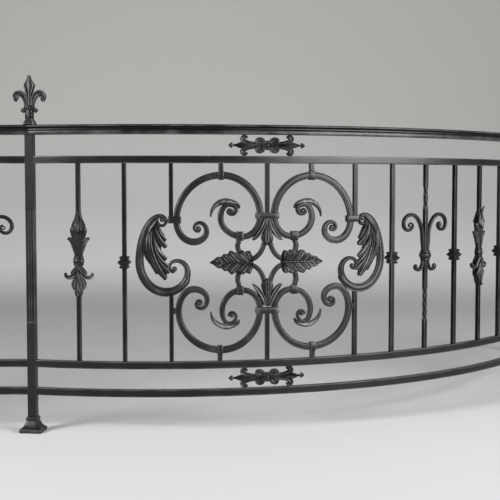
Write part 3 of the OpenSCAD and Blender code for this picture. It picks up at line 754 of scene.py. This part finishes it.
def leaf_casting(lay):
    """A flat casting: a hood of leaflets on a fluted cup, a ring, a hanging leaf and two upturned curls."""
    lay = moved(lay, 0, MID)
    oval = round_section(32, 0.85)
    hood = eased([(19, 106), (19.4, 116), (17.8, 124), (14.4, 134), (12.2, 147), (9.4, 158), (7.4, 167)], 5)
    cup = eased([(13.4, 18), (14.4, 30), (16.2, 43), (18, 55), (20, 68), (22.4, 80), (25.4, 91), (28, 101),
                 (27.6, 108), (22, 113), (12, 116)], 5)
    ring = [(12.6, -11), (15, -10), (16.4, -8), (16.2, -5.6), (15, -4.6), (16.6, -3), (17.4, 0.5), (17.6, 4),
            (17.2, 8), (16.4, 11), (15, 12.4), (16.2, 13.6), (16.5, 16), (15.6, 18.6), (13.2, 21)]
    stalk = eased([(12.4, -8), (12.4, -18), (13.2, -32), (12.2, -50), (13.2, -66), (12, -80), (9.4, -97),
                   (8.2, -110), (7.6, -119)], 5)
    # The cup's relief drops to 0.05 just below the hood's hem, which paints the hood's shadow on it, and
    # rises at its rim for the rubbing tone and painted highlight.
    cup_relief = np.interp(cup[:, 1], [60, 92, 104, 108, 112], [0.4, 0.05, 0.1, 0.8, 0.2])
    yield stood(hood, oval, lay, np.interp(hood[:, 1], [106, 124, 147, 167], [0.44, 0.5, 0.72, 1.0]))
    yield stood(cup, oval, lay, np.interp(cup[:, 1], [18, 43, 80, 101], [0.68, 0.56, 0.42, 0.36]), cup_relief)
    yield stood(ring, oval, lay, 0.72)
    yield stood(stalk, oval, lay, np.interp(stalk[:, 1], [-119, -98, -8], [1.0, 0.8, 0.66]))
    hanging = [
        ([(4, -12, 7), (11, -22, 11), (18, -31, 12), (23, -37, 7)], 20, 8.5, 6.0),
        ([(3, -34, 6), (10, -54, 11), (17, -68, 13), (16.2, -80, 9), (12.5, -88, 4)], 24, 9.0, 6.5),
        ([(2, -56, 6), (6, -78, 9), (8.4, -94, 8), (5.4, -109, 4)], 20, 9.5, 7.0),
    ]
    for face in both_faces(lay):
        for x, low, wide in ((-16.4, 113, 11), (16.4, 113, 11), (-9, 105, 13), (9, 105, 13), (0, 100, 12)):
            points = [(x * 0.1, 161, 4), (x * 0.4, 143, 8), (x * 0.85, 122, wide), (x, low, wide * 0.85)]
            leaflet = bent_line(points, 22)
            rise = np.interp(leaflet[:, 1], [100, 122, 143, 161], [12 - abs(x) * 0.12, 9.5, 7.5, 5.5])
            # The leaflets' relief grows from 0.4 at the top to full at the hem: painted shade above, the
            # rubbing tone and painted highlight along the hem.
            yield petal(leaflet, (5, 7), face, rise, around=24, hollow=0.6, lean=0.3, relief_level=(0.4, 1))
        for x, high, lift in ((0, 92, 9.4), (4.6, 93, 8.2), (-4.6, 93, 8.2), (9, 95, 5.6), (-9, 95, 5.6)):
            points = [(x * 0.9, 20, 4), (x * 1.1, 48, 4.6), (x * 1.7, 76, 6), (x * 2.2, high, 4)]
            yield petal(bent_line(points, 22), 4, face, (lift * 0.96, lift), around=14, relief_level=0.45)
        for side in both_sides(face):
            for points, n, near, far in hanging:
                yield petal(bent_line(points, n), 8, side, (near, far), around=24, hollow=0.55)
    front, back = both_faces(lay)
    vein = bent_line([(0, -12, 6), (0, -48, 8), (0, -82, 8), (0, -104, 7), (0, -116, 3.4)], 28)
    turned_out = np.interp(vein[:, 1], [-116, -100, -12], [15, 10, 8.5])
    for face, rise in ((front, turned_out), (back, (8.5, 8))):
        yield petal(vein, 7, face, rise, flutes=2, flute=0.34, around=24)
    tip = bent_line([(0, 126, 8), (0, 144, 9), (0, 158, 7.5), (0, 168, 5), (0, 173, 3)], 26)
    rise = np.interp(tip[:, 1], [126, 144, 158, 173], [9.5, 11.5, 14.5, 21])
    yield petal(tip, (8, 4), lay, rise, hollow=0.5)
    for side in both_sides(lay):
        shoulder = bent_line([(8, 32, 8), (14, 51, 12), (22, 68, 14), (30.5, 77, 11), (35.6, 74.5, 5)], 26)
        yield petal(shoulder, (17, 9), side, around=28, hollow=0.5)
        barb = bent_line([(8, 25, 7), (12.6, 39, 9), (18, 51, 9), (23, 56.5, 4)], 20)
        yield petal(barb, (16, 8), side, around=24, hollow=0.45)
        curl = scroll_line([(12, -30, 13), (32, -48.5, 15), (45, -38, 8.5)], fine=2.0)
        yield petal(curl, (16, 11), side, around=28, hollow=0.35)
        yield bead(moved(side, 44.6, -37.6), 4.8, 16, 1.1)


def lily_casting(lay):
    """Two tall petals that roll out and under, tied by a moulded collar, with two small curls below."""
    lay = moved(lay, 0, MID)
    depth = 13
    ring = [(12, -13), (15.6, -12.6), (17.4, -11), (18, -9), (17.6, -7), (16.6, -5.6), (18.4, -4), (20.6, 0),
            (21.6, 4), (21.6, 8), (20.6, 11.4), (18.6, 13.4), (17.2, 14.4), (18.2, 15.6), (18.4, 18),
            (17.6, 20.6), (15.6, 22.4), (12, 23)]
    stem = np.linspace((9.5, 14, 11), (13.5, 60, 14), 24)
    arm = scroll_line([(13.5, 62, 14), (66, 147, 12), (100.5, 116, 12.5), (80, 93.5, 11), (61, 109, 9.5),
                       (71, 117, 8.5)], fine=2.5)
    foot_curl = scroll_line([(10, 0, 11), (31, -44.5, 11.5), (47.5, -34.5, 10), (42.5, -28.5, 8.5)], fine=2.0)
    yield stood(ring, round_section(32, 0.8), lay, 0.8)
    for side in both_sides(lay):
        yield carried(np.concatenate([stem, arm]), depth, crowned_section(), side, relief_level=0.5)
        yield eye(side, 73, 110.5, 6.8, depth)
        yield carried(foot_curl, depth, crowned_section(), side, relief_level=0.5)
        yield eye(side, 42, -32.5, 5, depth)


for label, bay in BAYS.items():
    tail = "" if label == "straight" else "s"
    lay = bay["lay"]
    knuckles = [knuckle(moved(lay, s)) for s in bay["knuckles"]]
    buds = [shell for s in bay["leaf"] for shell in leaf_casting(moved(lay, s))]
    lilies = [shell for s in bay["lily"] for shell in lily_casting(moved(lay, s))]
    piece(label + "_upright_bars", [label + "_bars"], "bar", UPRIGHT_IRON, bay_bars(bay))
    piece(label + "_cast_knuckles", [label + "_knuckles"], "casting", BAR_IRON, knuckles, 30)
    piece(label + "_leaf_buds", [label + "_leaf_casting" + tail], "casting", CAST_IRON, buds, 55)
    piece(label + "_lilies", [label + "_lily_casting" + tail], "casting", CAST_IRON, lilies, 50)


# Scroll panels, drawn for the left half in (across, up, width) from the panel's middle

UPPER_SCROLL = [
    (-219, 108, 7), (-227, 100, 8), (-239.5, 113, 9), (-221, 129, 12), (-198, 101, 17), (-239, 67, 23),
    (-295, 133, 20), (-152, 281, 23), (-23, 149, 22), (-80, 83, 19.5), (-153.5, 144, 19), (-128, 187, 15),
    (-102, 171, 12), (-116, 154, 10), (-131, 164, 8), (-122, 172, 7),
]
LOWER_SCROLL = [
    (-214, -130, 7), (-223, -121, 8), (-234, -135, 9), (-217, -148, 12), (-197, -119, 17), (-240, -85, 22),
    (-289, -155, 20), (-150, -283, 23), (-24, -152, 20), (-83, -90, 19), (-149, -158, 17), (-125, -199, 13),
    (-103, -174, 9), (-117, -161, 8), (-128, -172, 7),
]
SIDE_SCROLL = [
    (-299, -18, 7), (-308, -30, 8), (-317.5, -12, 9), (-295, 7, 12), (-259.5, -30, 20), (-329, -94.5, 29),
    (-413.5, 5, 27), (-346, 151, 13), (-328.5, 133, 11), (-341, 119, 10), (-352, 128, 8),
]
ACANTHUS_FRONDS = [
    ([(-385, 118, 10), (-396, 70, 17), (-391, 30, 17), (-378, 1, 12)], 1),
    ([(-360, 135, 7), (-353, 112, 11), (-346, 97, 13), (-338, 87, 11)], 0),
    ([(-363, 131, 8), (-354, 104, 13), (-344, 86, 15), (-332, 73, 13)], 1),
    ([(-366, 127, 8), (-359, 96, 14), (-347, 70, 18), (-330, 53, 15)], 2),
    ([(-374, 102, 8), (-366, 68, 12), (-355, 45, 14), (-343, 28, 12)], 1),
    ([(-374, 94, 8), (-364, 54, 14), (-348, 28, 17), (-330, 13, 15)], 2),
    ([(-372, 80, 8), (-364, 38, 14), (-345, 6, 16), (-324, -12, 13)], 1),
    ([(-370, 62, 8), (-358, 15, 13), (-340, -12, 15), (-321, -30, 13)], 2),
    ([(-380, 114, 10), (-387, 62, 16), (-376, 10, 18), (-357, -32, 12)], 2),
    ([(-373, 112, 9), (-379, 62, 13), (-362, 0, 16), (-331, -51, 12)], 3),
    ([(-350, 148, 9), (-368, 132, 15), (-386, 104, 15), (-390, 76, 8)], 3),
    ([(-391, 60, 8), (-395, 36, 11), (-388, 10, 7)], 0),
    ([(-381, 34, 8), (-378, 6, 11), (-366, -22, 7)], 0),
]


def c_scrolls(lay):
    """The two C-scrolls of a panel's left half, each curled round two snub ends."""
    for points in (UPPER_SCROLL, LOWER_SCROLL):
        yield carried(scroll_line(points, fine=5.5), BAR, forged_section(), lay)
    for u, v, radius in ((-225, 110, 8.6), (-118.5, 164.5, 8.4), (-221, -131.5, 8), (-118, -171.5, 7.6)):
        yield eye(lay, u, v, radius)


def scroll_tails(lay):
    """The leaf that lies over each inner curl: a fluted blade with a hooked tip and a ribbed back.

    The blade swells by half a sine wave, and each rib is a length of it that leans away from the curl.
    """
    upper = scroll_line([(-185, 148, 5), (-138, 197, 15), (-93, 176, 8)], fine=3.0)
    lower = scroll_line([(-185, -159, 5), (-134, -208, 14), (-94, -188, 8)], fine=3.0)
    for line in (upper, lower):
        t = np.linspace(0, 1, len(line))
        line[:, 2] += 6 * np.sin(math.pi * t)
        thick = np.interp(t, [0, 0.4, 1], [7, 15, 12])
        yield petal(line, thick, lay, flutes=3, flute=0.3, around=32)
        rise = np.sign(line[-1, 1])
        for start in (0.2, 0.34, 0.48, 0.62):
            k = int(start * len(line))
            reach = line[k:k + int(0.26 * len(line)):2] * (1, 1, 0.42)
            lean = np.linspace(0, 1, len(reach))[:, None]
            reach = reach + lean * (0, rise * 3.4, 0) - (0, rise * 1.6, 0)
            for face in both_faces(lay):
                yield petal(reach, 6, face, 6.4, around=14)


def links(lay):
    """The two U-links of a panel's left half: from the level collar, round the leaf, to the palmette."""
    arc = scroll_line([(-98, 57, 16), (-62, 8.2, 15.5), (-7.8, 84, 14.4)], fine=3.0)
    for end, top in zip(both_ends(lay), (69, 77)):
        leg = np.linspace((-93, top, 14), (-97.9, 58, 16), 8)
        yield carried(np.concatenate([leg, arc]), BAR, forged_section(), end)


def side_scroll(lay):
    """The broad side scroll, with a small rolled loop at its top and a sheath tip where it narrows."""
    yield carried(scroll_line(SIDE_SCROLL), BAR, crowned_section(), lay)
    yield eye(lay, -302, -20, 8.8)
    yield eye(lay, -341, 138.5, 7.5, 12)
    sheath = bent_line([(-292, -88, 10), (-270, -72, 15), (-258, -54, 13), (-262, -38, 4)], 26)
    for face in both_faces(lay):
        yield petal(sheath, 8, face, 4.2, flutes=2, flute=0.2)


def band(lay, u0, u1, z0, z1, deep, ease=1.2):
    """A wrapped collar: a block with eased edges and slightly bellied faces."""
    shape = square_section(0.16, 3)
    z = np.array([z0, z0 + ease * 0.3, z0 + ease, (z0 + z1) / 2, z1 - ease, z1 - ease * 0.3, z1])[:, None]
    grow = np.array([-1.6, -0.5, 0, 0.35, 0, -0.5, -1.6])[:, None]
    # The band's ends keep full relief, for the rubbing tone and painted highlight, and its middle less, so it
    # is painted a little in shade.
    relief_level = np.array([1, 1, 0.5, 0.3, 0.5, 1, 1])[:, None]
    across = (u0 + u1) / 2 + shape[:, 0] * ((u1 - u0) / 2 + grow)
    rings = lay(across, shape[:, 1] * (deep / 2 + grow), np.broadcast_to(z, across.shape))
    return tube(rings, np.maximum(shape[:, 2], relief_level))


def straps(lay):
    """The straps that hang a left half's scrolls from the rails: a wrapped band and a stub."""
    return [
        band(lay, -160.5, -143.5, 265.5, 296.5, 21.4),
        band(lay, -159.5, -144.5, 294, SUB_BOT - MID, 14, 0.4),
        band(lay, -164.5, -147.5, -298.5, -267.5, 21.4),
        band(lay, -163.5, -148.5, UP_TOP - MID, -296, 14, 0.4),
    ]


def collars(lay):
    """The collars of a panel's left half, apart from the two on its middle line."""
    return [
        band(lay, -322.7, -279.7, 127, 149, 21.8),
        band(lay, -305, -299.5, -165, -145, 12, 0.4),
        band(lay, -103, -80, 69.6, 99.9, 21.4),
        band(lay, -101.5, -80.5, -105.9, -76.8, 21.4),
    ]


def acanthus(lay):
    """A drooping acanthus leaf: hollow fronds that sweep down from its top and part into rounded lobes.

    Each frond is raised by its step and by half a sine wave along it, over two plain half blades.
    """
    rib = [(-356, 146), (-372, 128), (-384, 100), (-384, 66), (-372, 22), (-352, -16), (-333, -52)]
    outer = [(-357, 147), (-378, 132), (-399, 98), (-401, 56), (-390, 18), (-360, -28), (-335, -55)]
    inner = [(-353, 144), (-349, 112), (-342, 88), (-344, 58), (-342, 22), (-331, -10), (-325, -48)]
    n = 24
    t = np.linspace(0, 1, n)
    thick = np.interp(t, [0, 0.5, 1], [8, 10, 8])
    # Relief along a frond, from 0.45 at its top to 1.25 at its lobe: painted shade near the top, the rubbing
    # tone and painted highlight at the lobes. Fronds ending on the outer side keep 0.72, and the half blades
    # beneath, at 0.3, are painted in shade between the fronds.
    lobe_relief = np.interp(t, [0, 0.35, 0.6, 1], [0.45, 0.85, 1.2, 1.25])
    for face in both_faces(lay):
        for edge in (outer, inner):
            yield half_leaf(rib, edge, face, veins=[], thick=6, lift=4.6, rise=1.4, n=30, relief_level=0.3)
        for points, step in ACANTHUS_FRONDS:
            rise = 3.4 + 1.2 * step + 3.0 * np.sin(math.pi * t)
            relief_level = lobe_relief if points[-1][0] > -350 else 0.72
            frond = bent_line(points, n)
            yield petal(frond, thick, face, rise, around=24, hollow=0.7, lean=0.75, relief_level=relief_level)


def flat_leaf(lay):
    """A level leaf on both faces of the links: broad ruffled lobes at its base and a long veined point."""
    edge = np.array([
        (-50, 4), (-52, 22), (-60, 37), (-72, 33), (-83, 39), (-94, 30), (-106, 32), (-120, 38), (-130, 27),
        (-142, 27), (-150, 19), (-164, 17), (-174, 9), (-189, 0),
    ], float)
    rib = np.stack([np.minimum(edge[:, 0] + 1.1 * edge[:, 1], -49), np.zeros(len(edge))], -1)
    veins = [k / 13 for k in (2.0, 1.2, 4.1, 2.8, 5.2, 4.8, 6.9, 6.1, 7.5, 8.2, 9.1, 9.9, 11.0, 11.9)]
    midrib = bent_line([(-51, 0, 8), (-80, 0, 8), (-120, 0, 7), (-160, 0, 5), (-184, 0, 3)], 30)
    for face in both_faces(lay):
        for half in both_ends(face):
            yield half_leaf(rib, edge, half, veins, thick=5.5, lift=12, rise=3.0, n=130, sweep=1.5)
        yield petal(midrib, (8, 5), face, (12, 11.2), around=14, relief_level=0.6)


def palmette(lay):
    """A palmette on both faces: a ribbed tongue that swells to a round end, and two hollow blades."""
    tongue = bent_line([(0, 139, 15), (0, 122, 14), (0, 106, 18), (0, 92, 28), (0, 79, 36), (0, 68, 31),
                        (0, 60, 17), (0, 56, 7)], 44)
    blade = bent_line([(-8, 138, 9), (-14, 118, 13), (-27, 95, 14), (-39, 80, 10), (-47, 72, 4)], 32)
    for face in both_faces(lay):
        yield petal(tongue, (9, 10), face, 10.5, flutes=4, flute=0.2, around=44, relief_level=0.85)
        for side in both_sides(face):
            yield petal(blade, (9, 6), side, (10, 9), around=24, hollow=0.5)


def tie(lay, half_gap):
    """The ornament between paired rails: a ribbed knot, four ribbon loops and a lily at each end.

    A loop is a leaning ellipse, and half_gap is the way from the ornament's middle to a rail.
    """
    turn = np.linspace(0, 2 * math.pi, 45)
    across = 23.5 + 12.4 * np.cos(turn) - 1.6 * np.sin(turn)
    up = 12.8 + 9.4 * np.sin(turn) + 2.6 * np.cos(turn)
    loop = np.stack([across, up, np.full(len(turn), 7.6)], -1)
    knot = eased([(5, -15), (7.6, -13), (8.4, -9), (7.2, -5.5), (8.8, -2), (8.8, 2), (7.2, 5.5), (8.4, 9),
                  (7.6, 13), (5, 15)], 4)
    arm = bent_line([(7, 0, 14), (30, 0, 13), (46, 0, 14), (64, 0, 17), (82, 0, 20), (92, 0, 18),
                     (102, 0, 10), (113, 0, 5)], 44)
    ribbon = bent_line([(8, 4, 9), (19, 11, 17), (30, 16, 12)], 16)
    curl = scroll_line([(38, 6, 11), (81, 20, 18), (75, half_gap - 5, 11), (68, half_gap - 9.5, 7)],
                       plumb=False, fine=1.8)
    yield stood(knot, round_section(24, 0.6), lay, 1.2)
    for side in both_sides(lay):
        yield petal(arm, (15, 10), side, flutes=4, flute=0.3, around=36, relief_level=0.75)
        yield bead(moved(side, 121.5), 6, 18, 1.0)
        for half in both_ends(side):
            yield petal(loop, 16, half, hollow=0.3, relief_level=0.85)
            yield petal(ribbon, 11, half, around=24, hollow=0.6, relief_level=0.8)
            yield petal(curl, (13, 16), half, around=28, hollow=0.45, relief_level=0.8)
            yield bead(moved(half, 71, half_gap - 8.6), 4.6, 16, 1.5)
            yield bead(moved(half, 117.5, 5), 4, 14, 1.0)


def panel_halves(make, middles):
    """Both halves of each panel, from the maker of a left half."""
    return [shell for middle in middles for half in both_sides(middle) for shell in make(half)]


PAIRED_RAILS = ((SUB_TOP, HAND_BOT), (LOW_TOP, UP_BOT))
for label, bay in BAYS.items():
    lay = bay["lay"]
    middles = [moved(lay, c, MID) for c in bay["panels"]]
    centre_bands = [band(middle, -38, 38, v, v + 20, 21.8) for middle in middles for v in (140, -168)]
    palmettes = [shell for middle in middles for end in both_ends(middle) for shell in palmette(end)]
    ties = []
    for c in bay["panels"]:
        for low, high in PAIRED_RAILS:
            ties += tie(moved(lay, c, (low + high) / 2), (high - low) / 2)
    for name, node, slot, shells, sharp in (
        ("_forged_scrolls", "_c_scrolls", "bar", panel_halves(c_scrolls, middles), 50),
        ("_curl_tails", "_scroll_tails", "casting", panel_halves(scroll_tails, middles), 55),
        ("_u_links", "_links", "bar", panel_halves(links, middles), 50),
        ("_broad_scrolls", "_side_scrolls", "bar", panel_halves(side_scroll, middles), 50),
        ("_wrapped_straps", "_straps", "bar", panel_halves(straps, middles), 40),
        ("_wrapped_collars", "_collars", "bar", panel_halves(collars, middles) + centre_bands, 40),
        ("_drooping_acanthus", "_acanthus_leaves", "casting", panel_halves(acanthus, middles), 60),
        ("_level_leaves", "_flat_leaves", "casting", panel_halves(flat_leaf, middles), 60),
        ("_hanging_palmettes", "_palmettes", "casting", palmettes, 60),
        ("_rail_ornaments", "_ties", "casting", ties, 60),
    ):
        piece(label + name, [label + node], slot, BAR_IRON if slot == "bar" else CAST_IRON, shells, sharp)


# Floor, light and camera, in metres

COVE = (0.7, -2.0)
COVE_FLAT = 5.6
COVE_BEND = 2.6
COVE_TOP = 9.0
COVE_SIDES = 96
OUTER_HALF = 30
OUTER_DROP = -0.002


def cove_paint():
    """Pale paint that is clear from behind; its tone follows the way out over the floor and up the wall,
    and paints light and shade on the cove: darker from 4 to 6 m out, lighter again at about 7 m,
    near the foot of the wall.

    The way out is the level distance from the cove's middle plus one and a half times the height,
    and the last stop is 10 m out.
    """
    material = bpy.data.materials.new("pale_cove")
    material.use_nodes = True
    tree = material.node_tree
    link = tree.links.new
    shader = tree.nodes["Principled BSDF"]
    shader.inputs["Roughness"].default_value = 0.85
    shader.inputs["Specular IOR Level"].default_value = 0.2
    where = add_node(tree, "ShaderNodeTexCoord").outputs["Object"]
    centred = reckoned(tree, "SUBTRACT", where, (*COVE, 0), kind="ShaderNodeVectorMath")
    level = reckoned(tree, "MULTIPLY", centred, (1, 1, 0), kind="ShaderNodeVectorMath")
    reach = add_node(tree, "ShaderNodeVectorMath", operation="LENGTH", Vector=level).outputs["Value"]
    height = add_node(tree, "ShaderNodeSeparateXYZ", Vector=centred).outputs["Z"]
    way_out = reckoned(tree, "MULTIPLY_ADD", height, 1.5, reach)
    ramp = add_node(tree, "ShaderNodeValToRGB", Fac=reckoned(tree, "MULTIPLY", way_out, 0.1))
    # Stops of (place, grey, warmth): the grey steps are painted shade and painted light over the floor and
    # wall, and the warmth is a slight tint far out.
    stops = [(0.23, 0.59, 0), (0.30, 0.58, 0), (0.40, 0.48, 0), (0.60, 0.48, 0), (0.69, 0.70, 0),
             (0.83, 0.58, 0), (1.0, 0.58, 0.014)]
    for k, (place, grey, warmth) in enumerate(stops):
        stop = ramp.color_ramp.elements[k] if k < 2 else ramp.color_ramp.elements.new(place)
        stop.position = place
        stop.color = (grey * (1 + warmth), grey, grey * (1 - 2 * warmth), 1)
    link(ramp.outputs["Color"], shader.inputs["Base Color"])
    behind = add_node(tree, "ShaderNodeNewGeometry").outputs["Backfacing"]
    clear = add_node(tree, "ShaderNodeBsdfTransparent")
    facing = add_node(tree, "ShaderNodeMixShader", Fac=behind)
    link(shader.outputs[0], facing.inputs[1])
    link(clear.outputs[0], facing.inputs[2])
    link(facing.outputs[0], tree.nodes["Material Output"].inputs["Surface"])
    return material


def studio():
    """A round pale cove: a floor that a quarter round carries up into a wall, and a wide floor below it."""
    t = np.linspace(0, math.pi / 2, 25)
    r = np.concatenate([[0.02, 2.5], COVE_FLAT + COVE_BEND * np.sin(t), [COVE_FLAT + COVE_BEND]])[:, None]
    z = np.concatenate([[0.0, 0.0], COVE_BEND * (1 - np.cos(t)), [COVE_TOP]])[:, None]
    a = np.linspace(0, 2 * math.pi, COVE_SIDES, endpoint=False)
    x, y = COVE[0] + r * np.cos(a), COVE[1] + r * np.sin(a)
    grid = np.stack([x, y, np.broadcast_to(z, x.shape)], -1)
    i, j = np.meshgrid(np.arange(len(r) - 1) * COVE_SIDES, np.arange(COVE_SIDES), indexing="ij")
    k = (j + 1) % COVE_SIDES
    quads = np.stack([i + j, i + COVE_SIDES + j, i + COVE_SIDES + k, i + k], -1).reshape(-1, 4)
    corners = np.array([(-1, -1), (1, -1), (1, 1), (-1, 1)]) * OUTER_HALF
    square = [(*corner, OUTER_DROP) for corner in corners.tolist()]
    paint = cove_paint()
    stage = []
    for name, points, faces in (
        ("studio_cove", grid.reshape(-1, 3).tolist(), quads.tolist() + [list(range(COVE_SIDES))]),
        ("outer_floor", square, [(0, 1, 2, 3)]),
    ):
        mesh = bpy.data.meshes.new(name)
        mesh.from_pydata(points, [], faces)
        mesh.materials.append(paint)
        stage.append(bpy.data.objects.new(name, mesh))
        bpy.context.collection.objects.link(stage[-1])
    floor, outer_floor = stage
    floor.data.shade_smooth()


def soft_box(name, place, aim, wide, high, power, spread=180):
    """A large area lamp at a place, turned to face a point."""
    lamp = bpy.data.lights.new(name, "AREA")
    lamp.shape = "RECTANGLE"
    lamp.size = wide
    lamp.size_y = high
    lamp.energy = power
    lamp.spread = math.radians(spread)
    obj = bpy.data.objects.new(name, lamp)
    obj.location = place
    obj.visible_camera = False
    toward = np.array(aim) - np.array(place)
    level = math.hypot(toward[0], toward[1])
    obj.rotation_euler = (math.atan2(level, -toward[2]), 0, math.atan2(toward[0], -toward[1]) + math.pi)
    bpy.context.collection.objects.link(obj)


studio()
soft_box("right_box", (4.1, -2.0, 1.5), (0.9, 0.2, 0.75), wide=3.8, high=1.6, power=95, spread=90)
soft_box("front_left_box", (-3.6, -3.3, 2.6), (0.2, 0.0, 0.7), wide=2.0, high=1.6, power=155, spread=110)
soft_box("top_box", (0.6, -0.2, 4.6), (0.6, 0.4, 0.0), wide=4.0, high=4.0, power=25)
soft_box("wall_box", (1.5, 2.4, 3.8), (1.3, 6.2, 0.9), wide=3.0, high=3.0, power=42)
soft_box("far_wall_box", (0.7, -6.0, 4.2), (0.7, -10.2, 1.2), wide=4.0, high=3.0, power=26)

world = bpy.data.worlds.new("studio_air")
world.use_nodes = True
world.node_tree.nodes["Background"].inputs["Color"].default_value = (0.82, 0.83, 0.84, 1)
world.node_tree.nodes["Background"].inputs["Strength"].default_value = 0.07
bpy.context.scene.world = world
bpy.context.scene.view_settings.view_transform = "Standard"

lens = bpy.data.cameras.new("photo_camera")
lens.sensor_width = 36.0
lens.lens = 78.04
camera = bpy.data.objects.new("photo_camera", lens)
camera.location = (0.7108, -3.5134, 0.8121)
camera.rotation_euler = (math.radians(86.476), 0, 0)
bpy.context.collection.objects.link(camera)
bpy.context.scene.camera = camera
